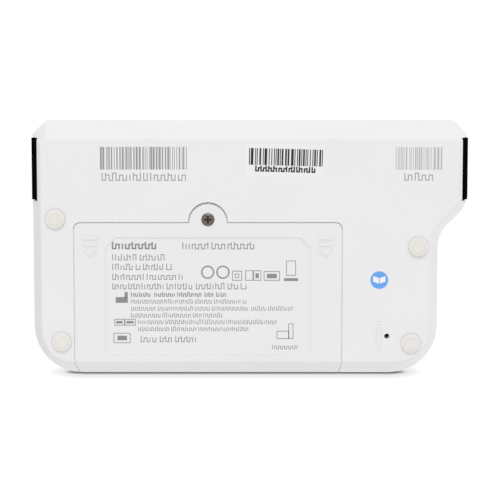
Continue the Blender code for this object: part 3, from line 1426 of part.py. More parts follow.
def display_module():
    """Display panel in its folded frame, behind the window."""
    middle = (WINDOW_X, WINDOW_Y)
    low, high = MODULE_Z, MODULE_Z + MODULE_THICK
    frame = block("frame_block", middle, (MODULE_LENGTH, MODULE_WIDTH), low, high)
    inner = (MODULE_LENGTH - 0.002, MODULE_WIDTH - 0.002)
    cut(frame, block("frame_pocket", middle, inner, low + 0.0004, high - 0.0004))
    view = (SCREEN_LENGTH + 0.0004, SCREEN_WIDTH + 0.0004)
    cut(frame, block("frame_view", middle, view, high - 0.001, high + 0.001))
    piece(frame, "display_frame", STEEL)
    glass = (inner[0] - 2 * GAP, inner[1] - 2 * GAP)
    panel = block("panel_glass", middle, glass, low + 0.0004 + GAP, high - 0.0004 - GAP)
    piece(panel, "display_panel", SCREEN_GLASS)


def display_window():
    outline = rounded_rectangle((WINDOW_X, WINDOW_Y), (WINDOW_LENGTH, WINDOW_WIDTH), WINDOW_CORNER_R, 4)
    window = plate("window_plan", [outline], TOP_Z - WINDOW_THICK, TOP_Z)
    return smooth(piece(bevelled(window, 0.0002), "display_window", SCREEN_GLASS))


def build():
    rear_case()
    front_case()
    head_band()
    right_end_panel()
    tray_end_panel()
    strip_tray()
    white_reference()
    tray_guide()
    drive_gear()
    gear_shaft()
    gear_clip()
    drive_motor()
    motor_rotor()
    case_screws()
    feet()
    battery_cover()
    battery_cover_screw()
    battery_pack()
    battery_contacts()
    main_board()
    front_board()
    board_link()
    radio_module()
    usb_socket()
    optic_housing()
    optic_board()
    optic_parts()
    key_caps()
    reset_switch()
    display_module()
    display_window()


clear_scene()
PARTS = new_collection("urine_analyzer")
HELPERS = new_collection("helpers")
build()
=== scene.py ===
"""Dresses the urine analyzer: materials, generic print, key marks, stage, lamps and camera."""

import math
import random

import bmesh
import bpy
from mathutils import Matrix, Vector


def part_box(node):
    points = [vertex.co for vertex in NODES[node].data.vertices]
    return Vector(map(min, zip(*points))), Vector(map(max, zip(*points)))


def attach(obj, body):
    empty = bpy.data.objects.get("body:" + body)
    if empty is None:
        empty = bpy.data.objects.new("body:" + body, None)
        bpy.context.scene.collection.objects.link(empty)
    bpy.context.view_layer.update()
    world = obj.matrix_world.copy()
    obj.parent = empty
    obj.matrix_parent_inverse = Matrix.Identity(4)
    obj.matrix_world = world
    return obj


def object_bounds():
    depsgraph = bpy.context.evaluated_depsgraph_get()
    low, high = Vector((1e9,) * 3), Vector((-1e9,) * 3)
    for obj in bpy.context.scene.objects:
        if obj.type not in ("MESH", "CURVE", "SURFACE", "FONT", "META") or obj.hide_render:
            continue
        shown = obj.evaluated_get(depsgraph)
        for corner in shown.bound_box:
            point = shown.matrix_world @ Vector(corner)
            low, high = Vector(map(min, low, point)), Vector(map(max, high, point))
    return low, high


MM = 0.001

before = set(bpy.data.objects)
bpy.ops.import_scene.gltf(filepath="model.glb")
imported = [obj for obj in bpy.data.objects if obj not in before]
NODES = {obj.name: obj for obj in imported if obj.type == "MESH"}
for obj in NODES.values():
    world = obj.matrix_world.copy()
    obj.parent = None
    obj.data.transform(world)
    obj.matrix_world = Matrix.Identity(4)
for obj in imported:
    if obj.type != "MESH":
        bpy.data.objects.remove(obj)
CAD_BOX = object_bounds()

# Camera: under the object, tilted towards the head, level with the photograph
CAMERA_DISTANCE = 0.5225
CAMERA_TILT = math.radians(6)
CAMERA_LENS = 133.57
CAMERA_SHIFT = (0.0006, 0.0058)
SENSOR_WIDTH = 36

# Levels of the underside and of the label's recess, and how print lies on them
UNDER_Z = 0.8 * MM
LABEL_Z = 1.05 * MM
PRINT_LIFT = 0.02 * MM
PRINT_THICK = 0.015 * MM
OVER_PRINT_Z = UNDER_Z - 0.03 * MM

# Facets of round marks
RING_STEPS = 28
DISC_STEPS = 40

# Places of print in millimetres, as in the photograph
LABEL_RIGHT_X = 40.75
LABEL_TOP_Y = 4.4
SIGN_PLACE = (-36.55, -7.72)
SIGN_RADIUS = 2.5
STICKER_MIDDLE = (-10.0, 26.0)
STICKER_TURN = math.radians(1.5)

# Half of the lit display behind the window, along X and Y
DISPLAY_HALF = {"X": 24.6 * MM, "Y": 17.6 * MM}

# Meander lines: pitch, line width and lower height as shares of a row's height, and two chances
MEANDER_PITCH = 0.42
MEANDER_LINE = 0.13
BOLD_LINE = 0.2
LOWER_HEIGHT = 0.76
FULL_HEIGHT_CHANCE = 0.3
LINK_CHANCE = 0.8

# The cover's seam in millimetres, as the part has it
COVER_GAP = 0.3
COVER_CORNER = 1.6
TAB_RADIUS = 5.3
SEAM_FRONT_Y = -31.1
SEAM_WALL = ((-31.1, 1.2), (-31.4, 1.5), (-31.65, 2.4), (-36.3, 16.6))
CURTAIN_THICK = 0.1

# Light: the world's even light, and how much of the sheets' white is theirs and how much is lit
AMBIENT = 0.83
SHEET_WHITE = 0.43
SHEET_SHADE = 0.6
SHEET_REACH = 1.5

# Lamps: name, direction in which it shines, strength, softness in degrees
LAMPS = (
    ("head_side_below", (0.0, -0.85, 0.53), 0.8, 30),
    ("near_side_below", (0.0, 0.8, 0.6), 0.27, 30),
    ("key_above", (1.2, 0.25, -1.0), 0.6, 35),
)

# Shadow under the near edge: its darkest level, and each reach with the share of white that it takes
CONTACT_DARKEST = 0.03
CONTACT_SHADOW = ((1.2 * MM, 0.71), (3.4 * MM, 0.26))


def linear(value):
    value /= 255
    return value / 12.92 if value <= 0.04045 else ((value + 0.055) / 1.055) ** 2.4


def colour(red, green, blue):
    """A colour as it reads on screen, as the linear values that the shader takes."""
    return (linear(red), linear(green), linear(blue), 1)


def add_node(tree, kind, place, **values):
    node = tree.nodes.new(kind)
    node.location = place
    for name, value in values.items():
        setattr(node, name, value)
    return node


def base_material(name, paint, roughness, metallic=0.0, specular=0.5):
    made = bpy.data.materials.new(name)
    made.use_nodes = True
    shader = made.node_tree.nodes["Principled BSDF"]
    shader.inputs["Base Color"].default_value = paint
    shader.inputs["Roughness"].default_value = roughness
    shader.inputs["Metallic"].default_value = metallic
    shader.inputs["Specular IOR Level"].default_value = specular
    return made, made.node_tree, shader


def grained(name, paint, roughness, grain=0.02 * MM, per_metre=6000, mottle=0.02, **more):
    """A moulded or cast surface: a fine relief and a faint unevenness in its colour."""
    made, tree, shader = base_material(name, paint, roughness, **more)
    coords = add_node(tree, "ShaderNodeTexCoord", (-1100, 0))
    fine = add_node(tree, "ShaderNodeTexNoise", (-850, -250))
    fine.inputs["Scale"].default_value = per_metre
    fine.inputs["Detail"].default_value = 2
    tree.links.new(coords.outputs["Object"], fine.inputs["Vector"])
    bump = add_node(tree, "ShaderNodeBump", (-300, -300))
    bump.inputs["Strength"].default_value = 0.35
    bump.inputs["Distance"].default_value = grain
    tree.links.new(fine.outputs["Fac"], bump.inputs["Height"])
    tree.links.new(bump.outputs["Normal"], shader.inputs["Normal"])
    broad = add_node(tree, "ShaderNodeTexNoise", (-850, 100))
    broad.inputs["Scale"].default_value = 45
    broad.inputs["Detail"].default_value = 3
    tree.links.new(coords.outputs["Object"], broad.inputs["Vector"])
    mix = add_node(tree, "ShaderNodeMix", (-400, 150), data_type="RGBA")
    mix.inputs[6].default_value = [c * (1 - mottle) for c in paint[:3]] + [1]
    mix.inputs[7].default_value = [min(1, c * (1 + mottle)) for c in paint[:3]] + [1]
    tree.links.new(broad.outputs["Fac"], mix.inputs["Factor"])
    tree.links.new(mix.outputs[2], shader.inputs["Base Color"])
    return made


def brushed(name, paint, roughness):
    """Turned or rolled metal: fine streaks in the roughness."""
    made, tree, shader = base_material(name, paint, roughness, metallic=1.0)
    coords = add_node(tree, "ShaderNodeTexCoord", (-1100, 0))
    stretch = add_node(tree, "ShaderNodeMapping", (-900, 0))
    stretch.inputs["Scale"].default_value = (400, 8000, 400)
    streaks = add_node(tree, "ShaderNodeTexNoise", (-700, 0))
    streaks.inputs["Scale"].default_value = 1
    span = add_node(tree, "ShaderNodeMapRange", (-450, 0))
    span.inputs["To Min"].default_value = roughness * 0.8
    span.inputs["To Max"].default_value = roughness * 1.25
    tree.links.new(coords.outputs["Object"], stretch.inputs["Vector"])
    tree.links.new(stretch.outputs["Vector"], streaks.inputs["Vector"])
    tree.links.new(streaks.outputs["Fac"], span.inputs["Value"])
    tree.links.new(span.outputs["Result"], shader.inputs["Roughness"])
    return made


def plain(name, paint, roughness=0.6, specular=0.3):
    return base_material(name, paint, roughness, specular=specular)[0]


WHITE = grained("white_abs", colour(235, 234, 235), 0.6, specular=0)
COVER_WHITE = grained("cover_abs", colour(234, 233, 234), 0.6, specular=0)
BLACK_GLOSS = grained("black_gloss", colour(14, 8, 17), 0.16, grain=0.002 * MM, per_metre=900, specular=0.12)
BLACK_PANEL = grained("black_panel", colour(12, 7, 15), 0.3, grain=0.002 * MM, per_metre=900, specular=0)
BLACK_MATTE = grained("black_matte", colour(34, 34, 36), 0.6)
RUBBER = grained("foot_rubber", colour(231, 228, 223), 0.75, per_metre=9000, mottle=0.03, specular=0.25)
# Painted shade: a darker ring that marks the step on each foot, where a little shade falls.
FOOT_STEP_PAINTED_SHADE = plain("foot_step_painted_shade", colour(224, 220, 214))
GREY_KEY = grained("grey_key", colour(186, 191, 198), 0.5, specular=0.35)
POM = grained("white_pom", colour(232, 231, 228), 0.4, grain=0.005 * MM)
NICKEL = grained("dark_nickel", colour(118, 104, 94), 0.35, 0.12 * MM, 2200, 0.5, metallic=1.0)
# Painted shade: the dark grey laid in the screw's cross recess, and as a painted shadow round its head.
SCREW_PAINTED_SHADE = plain("screw_painted_shade", colour(62, 52, 48))
STEEL = brushed("steel", colour(190, 190, 192), 0.3)
BRASS = brushed("brass", colour(214, 178, 104), 0.3)
BOARD = grained("board_green", colour(30, 106, 66), 0.45)
WRAP = grained("battery_wrap", colour(70, 112, 176), 0.4)
EPOXY = plain("clear_epoxy", colour(236, 238, 240), 0.15, 0.5)
PRINT_GREY = plain("print_grey", colour(146, 145, 148))
PRINT_DARK = plain("print_dark", colour(140, 139, 143))
CODE_GREY = plain("code_grey", colour(150, 151, 150))
CODE_PALE = plain("code_pale", colour(186, 186, 188))
CODE_BLACK = plain("code_black", colour(42, 40, 44))
STICKER = plain("sticker", colour(237, 236, 236), 0.35, 0.4)
SIGN_BLUE = plain("sign_blue", colour(104, 164, 238), 0.4, 0.4)
# Painted shade: a pale grey that stands in for the shading of the raised word beside the pinhole.
RAISED_MARK_PAINTED_SHADE = plain("raised_mark_painted_shade", colour(227, 226, 227))
MARK_WHITE = plain("mark_white", colour(240, 240, 240))
MARK_DARK = plain("mark_dark", colour(60, 64, 70))


def screen_material():
    """Tinted window: black printed border, with the dark grey of the display behind its middle."""
    border = colour(14, 15, 18)
    made, tree, shader = base_material("screen_glass", border, 0.08, specular=0.4)
    low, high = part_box("display_window")
    middle = (low + high) / 2
    coords = add_node(tree, "ShaderNodeTexCoord", (-1300, 0))
    apart = add_node(tree, "ShaderNodeSeparateXYZ", (-1100, 0))
    tree.links.new(coords.outputs["Object"], apart.inputs["Vector"])
    inside = add_node(tree, "ShaderNodeMath", (-600, 0), operation="MULTIPLY")
    for i, (axis, half) in enumerate(DISPLAY_HALF.items()):
        compare = add_node(tree, "ShaderNodeMath", (-850, 0), operation="COMPARE")
        compare.inputs[1].default_value = middle[i]
        compare.inputs[2].default_value = half
        tree.links.new(apart.outputs[axis], compare.inputs[0])
        tree.links.new(compare.outputs[0], inside.inputs[i])
    mix = add_node(tree, "ShaderNodeMix", (-350, 0), data_type="RGBA")
    mix.inputs[6].default_value = border
    mix.inputs[7].default_value = colour(58, 66, 74)
    tree.links.new(inside.outputs[0], mix.inputs["Factor"])
    tree.links.new(mix.outputs[2], shader.inputs["Base Color"])
    return made


SCREEN = screen_material()
FINISHES = {
    "rear_case": WHITE,
    "front_case": WHITE,
    "battery_cover": COVER_WHITE,
    "head_band": BLACK_GLOSS,
    "right_end_panel": BLACK_PANEL,
    "tray_end_panel": BLACK_PANEL,
    "strip_tray": POM,
    "white_reference": POM,
    "drive_gear": POM,
    "tray_guide": BLACK_MATTE,
    "battery_contacts": BLACK_MATTE,
    "board_link": BLACK_MATTE,
    "optic_housing": BLACK_MATTE,
    "light_sensor": BLACK_MATTE,
    "battery_cover_screw": NICKEL,
    "motor_pinion": BRASS,
    "battery_pack": WRAP,
    "main_board": BOARD,
    "front_board": BOARD,
    "optic_board": BOARD,
    "lamp_1": EPOXY,
    "lamp_2": EPOXY,
    "display_window": SCREEN,
    "display_panel": SCREEN,
}


def finish_for(name):
    if name in FINISHES:
        return FINISHES[name]
    if name.startswith("foot_"):
        return RUBBER
    if name.endswith("_key"):
        return GREY_KEY
    if name.endswith("_plunger"):
        return BLACK_MATTE
    return STEEL


def dress_solids():
    for name, node in NODES.items():
        node.data.materials.clear()
        node.data.materials.append(finish_for(name))


class Print:
    """Thin closed shapes that lie on one face of the object, gathered into one mesh."""

    def __init__(self, name, finish, z, down=True):
        self.name = name
        self.finish = finish
        self.low = z - PRINT_LIFT if down else z + PRINT_LIFT - PRINT_THICK
        self.bm = bmesh.new()

    def shape(self, outline):
        """A closed outline in millimetres as a thin plate."""
        low, high = self.low, self.low + PRINT_THICK
        bottom = [self.bm.verts.new((x * MM, y * MM, low)) for x, y in outline]
        top = [self.bm.verts.new((x * MM, y * MM, high)) for x, y in outline]
        self.bm.faces.new(bottom[::-1])
        self.bm.faces.new(top)
        for i in range(len(outline)):
            j = (i + 1) % len(outline)
            self.bm.faces.new((bottom[i], bottom[j], top[j], top[i]))

    def bar(self, x0, y0, x1, y1):
        left, right = sorted((x0, x1))
        low, high = sorted((y0, y1))
        self.shape([(left, low), (right, low), (right, high), (left, high)])

    def frame(self, x0, y0, x1, y1, line):
        """A rectangle drawn as four lines."""
        left, right = sorted((x0, x1))
        low, high = sorted((y0, y1))
        self.bar(left, low, right, low + line)
        self.bar(left, high - line, right, high)
        self.bar(left, low + line, left + line, high - line)
        self.bar(right - line, low + line, right, high - line)

    def ring(self, x, y, radius, line):
        self.arc(x, y, radius - line, line, 0, 360, RING_STEPS)

    def arc(self, x, y, inner, width, start, sweep, steps):
        """Part of a ring, from a start angle through a sweep, both in degrees."""
        for i in range(steps):
            a, b = (math.radians(start + sweep * k / steps) for k in (i, i + 1))
            outer = inner + width
            self.shape(
                [
                    (x + inner * math.cos(a), y + inner * math.sin(a)),
                    (x + outer * math.cos(a), y + outer * math.sin(a)),
                    (x + outer * math.cos(b), y + outer * math.sin(b)),
                    (x + inner * math.cos(b), y + inner * math.sin(b)),
                ]
            )

    def disc(self, x, y, radius):
        turns = [math.tau * i / DISC_STEPS for i in range(DISC_STEPS)]
        self.shape([(x + radius * math.cos(t), y + radius * math.sin(t)) for t in turns])

    def curtain(self, across, profile):
        """A thin sheet between two X values that follows points of (y, z), all in millimetres."""
        rows = []
        for y, z in profile:
            row = [(x * MM, (y + dy) * MM, z * MM) for dy in (0, CURTAIN_THICK) for x in across]
            rows.append([self.bm.verts.new(corner) for corner in row])
        for one, two in zip(rows, rows[1:]):
            for i, j in ((0, 1), (1, 3), (3, 2), (2, 0)):
                self.bm.faces.new((one[i], one[j], two[j], two[i]))
        for end in (rows[0], rows[-1]):
            self.bm.faces.new((end[0], end[1], end[3], end[2]))

    def done(self, body="case", turn=0.0, about=(0, 0)):
        """Makes the object. turn rotates the whole print in its plane about a point in millimetres."""
        if turn:
            pivot = Matrix.Translation((about[0] * MM, about[1] * MM, 0))
            self.bm.transform(pivot @ Matrix.Rotation(turn, 4, "Z") @ pivot.inverted())
        bmesh.ops.recalc_face_normals(self.bm, faces=self.bm.faces)
        mesh = bpy.data.meshes.new(self.name)
        self.bm.to_mesh(mesh)
        self.bm.free()
        mesh.materials.append(self.finish)
        obj = bpy.data.objects.new(self.name, mesh)
        bpy.context.scene.collection.objects.link(obj)
        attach(obj, body)


def meander(plate, words, y, height, chance, line=MEANDER_LINE):
    """Words of print as meander lines of uneven height that spell nothing. Reading runs towards -X."""
    thick = height * line
    lower = height * LOWER_HEIGHT
    for start, end in words:
        count = max(2, round((end - start) / (height * MEANDER_PITCH)))
        step = (end - start - thick) / (count - 1)
        tops = [height if chance.random() < FULL_HEIGHT_CHANCE or i == 0 else lower for i in range(count)]
        for i in range(count):
            x = start + i * step
            plate.bar(-x, y, -(x + thick), y + tops[i])
            if i + 1 < count and chance.random() < LINK_CHANCE:
                low = min(tops[i], tops[i + 1]) - thick if i % 2 else 0
                plate.bar(-(x + thick), y + low, -(x + step), y + low + thick)


def label_word_rows():
    """Rows as (words from and to, top, height, bold), in millimetres from the label's upper left corner."""
    return (
        (((1.9, 14.4),), 1.3, 2.1, True),
        (((21.8, 29.1), (30.0, 42.0)), 1.4, 2.0, False),
        (((2.0, 8.8), (9.8, 16.7)), 4.8, 1.75, False),
        (((2.0, 7.7), (8.6, 9.9), (10.7, 16.3), (17.2, 18.7)), 7.5, 1.75, False),
        (((2.0, 10.8), (11.7, 19.9), (20.7, 21.8)), 10.3, 1.75, False),
        (((2.0, 16.4), (17.3, 24.5), (25.6, 33.6), (34.5, 37.4), (38.2, 39.8)), 13.0, 1.75, False),
        (((7.2, 12.7), (13.8, 19.6), (20.3, 27.1), (28.0, 30.5), (31.3, 34.0)), 15.6, 1.25, True),
        (
            ((7.2, 12.6), (13.0, 20.4), (20.9, 24.7), (25.3, 30.1), (30.7, 38.1), (38.8, 39.7)),
            17.6,
            1.2,
            False,
        ),
        (
            ((7.3, 14.1), (14.8, 24.6), (25.2, 29.4), (30.1, 40.3), (41.2, 45.4), (46.0, 52.8)),
            19.6,
            1.2,
            False,
        ),
        (((7.2, 15.5), (16.1, 24.1), (24.7, 27.1), (27.7, 32.9)), 21.5, 1.25, False),
        (((9.2, 16.3), (16.9, 27.6), (28.2, 33.6), (34.2, 48.3)), 23.4, 1.25, False),
        (((9.2, 17.9), (18.5, 25.5), (26.1, 40.3)), 25.4, 1.25, False),
        (((9.9, 14.3), (15.3, 18.7), (19.7, 25.5)), 28.1, 1.75, False),
        (((47.1, 54.2),), 30.6, 1.3, False),
    )


def label_print():
    """The rating label's rows and simple shapes, in its recess on the battery cover."""
    chance = random.Random(11)
    fine = Print("label_rows", PRINT_GREY, LABEL_Z)
    bold = Print("label_bold_rows", PRINT_DARK, LABEL_Z)
    for words, top, height, is_bold in label_word_rows():
        starts = [(a - LABEL_RIGHT_X, b - LABEL_RIGHT_X) for a, b in words]
        target = bold if is_bold else fine
        line = BOLD_LINE if is_bold else MEANDER_LINE
        meander(target, starts, LABEL_TOP_Y - top - height, height, chance, line=line)

    def place(u, v):
        return LABEL_RIGHT_X - u, LABEL_TOP_Y - v

    for u in (28.9, 33.2):
        fine.ring(*place(u, 9.9), 1.9, 0.42)
    for u0, v0, u1, v1 in (
        (35.8, 9.5, 38.6, 12.3),
        (36.6, 10.3, 37.8, 11.5),
        (39.5, 9.4, 41.75, 12.3),
        (41.75, 9.4, 44.0, 12.3),
        (44.7, 9.6, 49.3, 12.3),
        (51.0, 6.6, 53.8, 10.9),
        (2.5, 23.2, 5.4, 25.1),
        (5.4, 23.2, 8.5, 25.1),
        (2.2, 27.2, 7.0, 30.1),
        (48.4, 26.6, 51.9, 28.9),
        (51.7, 24.5, 53.1, 28.9),
    ):
        fine.frame(*place(u0, v0), *place(u1, v1), 0.2)
    for u0, v0, u1, v1 in (
        (45.6, 10.35, 48.4, 11.6),
        (50.4, 11.6, 54.4, 12.4),
        (2.9, 17.0, 6.3, 18.6),
        (5.4, 15.5, 6.3, 17.1),
        (3.0, 23.8, 4.8, 24.5),
        (5.9, 23.8, 7.9, 24.5),
        (3.3, 28.0, 6.0, 29.3),
        (42.4, 10.2, 43.3, 11.6),
    ):
        bold.bar(*place(u0, v0), *place(u1, v1))
    fine.done()
    bold.done()


def code(name, finish, x0, x1, y0, y1, seed, unit=0.17, gaps=(1, 1, 2, 2, 3), z=UNDER_Z, **more):
    """A field of upright bars of uneven width. It encodes nothing."""
    chance = random.Random(seed)
    bars = Print(name, finish, z)
    x = x0
    while x < x1 - unit:
        width = unit * chance.choice((1, 1, 1, 2, 2, 3))
        bars.bar(x, y0, min(x + width, x1), y1)
        x += width + unit * chance.choice(gaps)
    bars.done(**more)


def code_caption(name, finish, x_left, x_right, y0, y1, seed, line=0.11, z=UNDER_Z, **more):
    """The row under a code. x_left is where reading starts, at the larger X."""
    row = Print(name, finish, z)
    meander(row, [(-x_left, -x_right)], y0, y1 - y0, random.Random(seed), line=line)
    row.done(**more)


def codes():
    """Two printed codes and one on a sticker, along the head."""
    code("left_code", CODE_GREY, 17.63, 42.13, 23.5, 29.86, 3)
    code_caption("left_code_row", CODE_GREY, 41.5, 17.9, 20.35, 22.6, 4)
    code("right_code", CODE_PALE, -53.93, -40.62, 23.44, 29.72, 5, unit=0.2)
    code_caption("right_code_row", CODE_GREY, -43.4, -51.4, 20.4, 22.6, 6)
    sticker = Print("sticker", STICKER, UNDER_Z)
    sticker.bar(-21.2, 21.2, 1.2, 30.6)
    turned = {"turn": STICKER_TURN, "about": STICKER_MIDDLE}
    sticker.done(**turned)
    on_sticker = {"z": OVER_PRINT_Z, **turned}
    code("sticker_code", CODE_BLACK, -20.45, 0.2, 24.6, 29.3, 7, unit=0.24, gaps=(1, 1, 2), **on_sticker)
    code_caption("sticker_row", CODE_BLACK, -1.6, -18.5, 22.75, 24.4, 8, line=0.24, **on_sticker)


def blue_sign():
    """A blue disc with a plain open booklet."""
    sign = Print("blue_sign", SIGN_BLUE, UNDER_Z)
    sign.disc(*SIGN_PLACE, SIGN_RADIUS)
    sign.done()
    booklet = Print("blue_sign_booklet", MARK_WHITE, OVER_PRINT_Z)
    x, y = SIGN_PLACE
    for side in (-1, 1):
        page = [(0.12, -1.0), (1.75, -0.45), (1.75, 1.15), (0.12, 0.6)]
        booklet.shape([(x + side * u, y + v) for u, v in page])
    booklet.done()


def cover_seam():
    """Lip of the cover's seat inside its seam, which makes the seam a fine grey line, finer at the sides."""
    low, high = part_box("battery_cover")
    middle = (low.x + high.x) / 2 / MM
    half = (high.x - low.x) / 2 / MM
    edge = high.y / MM - TAB_RADIUS
    sides = Print("cover_seam_sides", WHITE, UNDER_Z + 0.4 * MM)
    for side in (-1, 1):
        across = sorted((middle + side * half, middle + side * (half + COVER_GAP)))
        sides.bar(across[0], SEAM_FRONT_Y, across[1], edge - COVER_CORNER)
        sides.curtain(across, SEAM_WALL)
    sides.done()
    back = Print("cover_seam_back", WHITE, UNDER_Z + 0.6 * MM)
    tab_foot = math.sqrt((TAB_RADIUS + COVER_GAP) ** 2 - COVER_GAP ** 2)
    for side, start in ((-1, 90), (1, 0)):
        corner_x = middle + side * (half - COVER_CORNER)
        back.bar(middle + side * tab_foot, edge, corner_x, edge + COVER_GAP)
        back.arc(corner_x, edge - COVER_CORNER, COVER_CORNER, COVER_GAP, start, 90, 4)
    back.arc(middle, edge, TAB_RADIUS, COVER_GAP, 0, 180, 14)
    back.done()


def middle_of(name):
    """The middle of a piece in X and Y, in millimetres."""
    low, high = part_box(name)
    return (low.x + high.x) / 2 / MM, (low.y + high.y) / 2 / MM


def screw_details():
    """Painted shade in the cover screw's cross recess, a ring of painted shadow round its head, and the edge
    of its seat.
    """
    x, y = middle_of("battery_cover_screw")
    # Painted shade: a dark plate at the bottom of the cross recess.
    shade = Print("screw_painted_shade", SCREW_PAINTED_SHADE, UNDER_Z + 0.2 * MM)
    shade.bar(x - 1.0, y - 0.22, x + 1.0, y + 0.22)
    shade.bar(x - 0.22, y - 1.0, x + 0.22, y - 0.22)
    shade.bar(x - 0.22, y + 0.22, x + 0.22, y + 1.0)
    shade.done()
    # Painted shadow: a dark ring round the screw's head.
    rim = Print("screw_rim_painted_shadow", SCREW_PAINTED_SHADE, UNDER_Z - 0.06 * MM)
    rim.ring(x, y, 1.84, 0.22)
    rim.done()
    seat = Print("screw_seat", WHITE, UNDER_Z + 0.04 * MM)
    seat.ring(x, y, 2.1, 0.28)
    seat.done()


def foot_rings():
    """A ring of painted shade at the step between each foot's flat middle and its sloping edge."""
    for i in range(1, 5):
        name = f"foot_{i}"
        # Painted shade along the foot's step.
        step = Print(f"{name}_step", FOOT_STEP_PAINTED_SHADE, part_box(name)[0].z)
        step.ring(*middle_of(name), 1.72, 0.12)
        step.done()


def raised_row():
    """Frames beside the pinhole, in the place of a raised word: they stand out a little and are greyed with
    painted shade that stands in for the relief's shading.
    """
    row = Print("reset_ticks", RAISED_MARK_PAINTED_SHADE, UNDER_Z)
    for i in range(5):
        y = -19.4 - i * 1.8
        row.frame(-37.5, y, -35.6, y - 1.25, 0.32)
    row.done()


def key_marks():
    """Simple signs on the keys: up, start, down and power."""
    for name, kind in (("up_key", "up"), ("start_key", "ring"), ("down_key", "down"), ("power_key", "power")):
        x, y = middle_of(name)
        mark = Print(f"{name}_mark", MARK_DARK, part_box(name)[1].z, down=False)
        if kind == "up":
            mark.shape([(x - 1.4, y - 0.9), (x + 1.4, y - 0.9), (x, y + 1.3)])
        elif kind == "down":
            mark.shape([(x - 1.4, y + 0.9), (x, y - 1.3), (x + 1.4, y + 0.9)])
        elif kind == "ring":
            mark.ring(x, y, 1.4, 0.4)
        else:
            mark.ring(x, y, 1.2, 0.32)
            mark.bar(x - 0.16, y + 0.3, x + 0.16, y + 1.7)
        mark.done(body=name)


def background_ray(tree, place):
    """One for rays that show the background: straight from the camera, or by way of metal or glass."""
    path = add_node(tree, "ShaderNodeLightPath", place)
    total = path.outputs["Is Camera Ray"]
    for i, kind in enumerate(("Is Glossy Ray", "Is Transmission Ray")):
        either = add_node(tree, "ShaderNodeMath", (place[0] + 180 * (i + 1), place[1]), operation="MAXIMUM")
        tree.links.new(total, either.inputs[0])
        tree.links.new(path.outputs[kind], either.inputs[1])
        total = either.outputs[0]
    return total


def sheet(name, finish, corners):
    """A flat white sheet through corners that run anticlockwise on the side that shows."""
    bm = bmesh.new()
    bm.faces.new([bm.verts.new(corner) for corner in corners])
    mesh = bpy.data.meshes.new(name)
    bm.to_mesh(mesh)
    bm.free()
    mesh.materials.append(finish)
    obj = bpy.data.objects.new(name, mesh)
    bpy.context.scene.collection.objects.link(obj)
    obj.visible_shadow = False
    obj.visible_diffuse = False
    obj.visible_glossy = False
    obj.visible_transmission = False


def sheet_material(name, lit):
    """White paper that shows on one side only and gives the object no light.

    lit(tree) makes the shader that the background rays see. Other rays see plain paper.
    """
    made = bpy.data.materials.new(name)
    made.use_nodes = True
    tree = made.node_tree
    tree.nodes.clear()
    out = add_node(tree, "ShaderNodeOutputMaterial", (800, 0))
    front_only = add_node(tree, "ShaderNodeMixShader", (600, 0))
    clear = add_node(tree, "ShaderNodeBsdfTransparent", (350, -200))
    background = add_node(tree, "ShaderNodeMixShader", (350, 0))
    paper = add_node(tree, "ShaderNodeBsdfDiffuse", (100, 150))
    paper.inputs["Color"].default_value = (SHEET_SHADE, SHEET_SHADE, SHEET_SHADE, 1)
    side = add_node(tree, "ShaderNodeNewGeometry", (350, 300))
    tree.links.new(background_ray(tree, (-500, 300)), background.inputs[0])
    tree.links.new(paper.outputs[0], background.inputs[1])
    tree.links.new(lit(tree), background.inputs[2])
    tree.links.new(side.outputs["Backfacing"], front_only.inputs[0])
    tree.links.new(background.outputs[0], front_only.inputs[1])
    tree.links.new(clear.outputs[0], front_only.inputs[2])
    tree.links.new(front_only.outputs[0], out.inputs[0])
    return made


def lifted_paper(tree):
    """Paper with part of its white its own, so that the lamps' shadow on it stays soft."""
    paper = add_node(tree, "ShaderNodeBsdfDiffuse", (-300, 50))
    paper.inputs["Color"].default_value = (SHEET_SHADE, SHEET_SHADE, SHEET_SHADE, 1)
    white = add_node(tree, "ShaderNodeEmission", (-300, -100))
    white.inputs["Strength"].default_value = SHEET_WHITE
    both = add_node(tree, "ShaderNodeAddShader", (-100, 0))
    tree.links.new(paper.outputs[0], both.inputs[0])
    tree.links.new(white.outputs[0], both.inputs[1])
    return both.outputs[0]


def contact_paper(tree):
    """Overexposed paper: white but for the shadow where something stands on it."""
    total = None
    for reach, share in CONTACT_SHADOW:
        open_sky = add_node(tree, "ShaderNodeAmbientOcclusion", (-900, 0), samples=16)
        open_sky.inputs["Distance"].default_value = reach
        level = add_node(tree, "ShaderNodeMath", (-600, 0), operation="MULTIPLY_ADD")
        level.inputs[1].default_value = share
        level.inputs[2].default_value = CONTACT_DARKEST
        tree.links.new(open_sky.outputs["AO"], level.inputs[0])
        if total:
            tree.links.new(total, level.inputs[2])
        total = level.outputs[0]
    white = add_node(tree, "ShaderNodeEmission", (-300, 0))
    tree.links.new(total, white.inputs["Strength"])
    return white.outputs[0]


def stage():
    """Floor under the feet, seen from above, and the table of the photograph, seen from the head's side.

    In the photograph the analyzer stands on its near edge against a white background.
    """
    far = SHEET_REACH
    near_y = CAD_BOX[0][1] - 0.05 * MM
    floor = ((-far, -far, 0), (far, -far, 0), (far, far, 0), (-far, far, 0))
    sheet("floor", sheet_material("floor_paper", lifted_paper), floor)
    table = ((-far, near_y, -far), (-far, near_y, far), (far, near_y, far), (far, near_y, -far))
    sheet("table", sheet_material("table_paper", contact_paper), table)


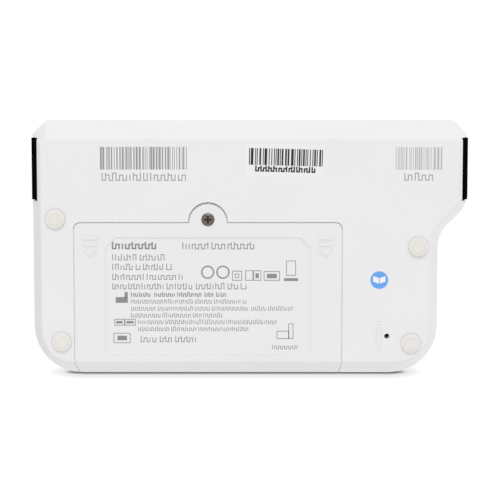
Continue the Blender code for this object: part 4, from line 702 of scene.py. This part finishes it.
def lamp(name, towards, strength, softness):
    """A distant soft light that shines along a direction."""
    data = bpy.data.lights.new(name, "SUN")
    data.energy = strength
    data.angle = math.radians(softness)
    obj = bpy.data.objects.new(name, data)
    obj.rotation_euler = Vector(towards).to_track_quat("-Z", "Y").to_euler()
    bpy.context.scene.collection.objects.link(obj)


def lights():
    """Even light from the world, plain white behind everything, and the lamps."""
    world = bpy.context.scene.world or bpy.data.worlds.new("world")
    bpy.context.scene.world = world
    world.use_nodes = True
    tree = world.node_tree
    tree.nodes.clear()
    out = add_node(tree, "ShaderNodeOutputWorld", (400, 0))
    choose = add_node(tree, "ShaderNodeMixShader", (200, 0))
    ambient = add_node(tree, "ShaderNodeBackground", (0, 100))
    ambient.inputs["Strength"].default_value = AMBIENT
    seen = add_node(tree, "ShaderNodeBackground", (0, -100))
    for shader in (ambient, seen):
        shader.inputs["Color"].default_value = (1, 1, 1, 1)
    tree.links.new(background_ray(tree, (-500, 250)), choose.inputs[0])
    tree.links.new(ambient.outputs[0], choose.inputs[1])
    tree.links.new(seen.outputs[0], choose.inputs[2])
    tree.links.new(choose.outputs[0], out.inputs[0])
    for values in LAMPS:
        lamp(*values)


def camera():
    """The photograph's view: from under the object, with its head up and +X at the left."""
    data = bpy.data.cameras.new("camera")
    data.lens = CAMERA_LENS
    data.sensor_width = SENSOR_WIDTH
    data.shift_x, data.shift_y = CAMERA_SHIFT
    data.clip_start = 0.01
    data.clip_end = 50
    obj = bpy.data.objects.new("camera", data)
    bpy.context.scene.collection.objects.link(obj)
    away = Vector((0, -math.sin(CAMERA_TILT), math.cos(CAMERA_TILT)))
    right = Vector((-1, 0, 0))
    up = (-away).cross(right)
    turn = Matrix((right, up, -away)).transposed().to_4x4()
    turn.translation = Vector((0, 0, UNDER_Z)) - away * CAMERA_DISTANCE
    obj.matrix_world = turn
    bpy.context.scene.camera = obj


dress_solids()
label_print()
codes()
blue_sign()
cover_seam()
screw_details()
foot_rings()
raised_row()
key_marks()
stage()
lights()
camera()
bpy.context.scene.view_settings.view_transform = "Standard"
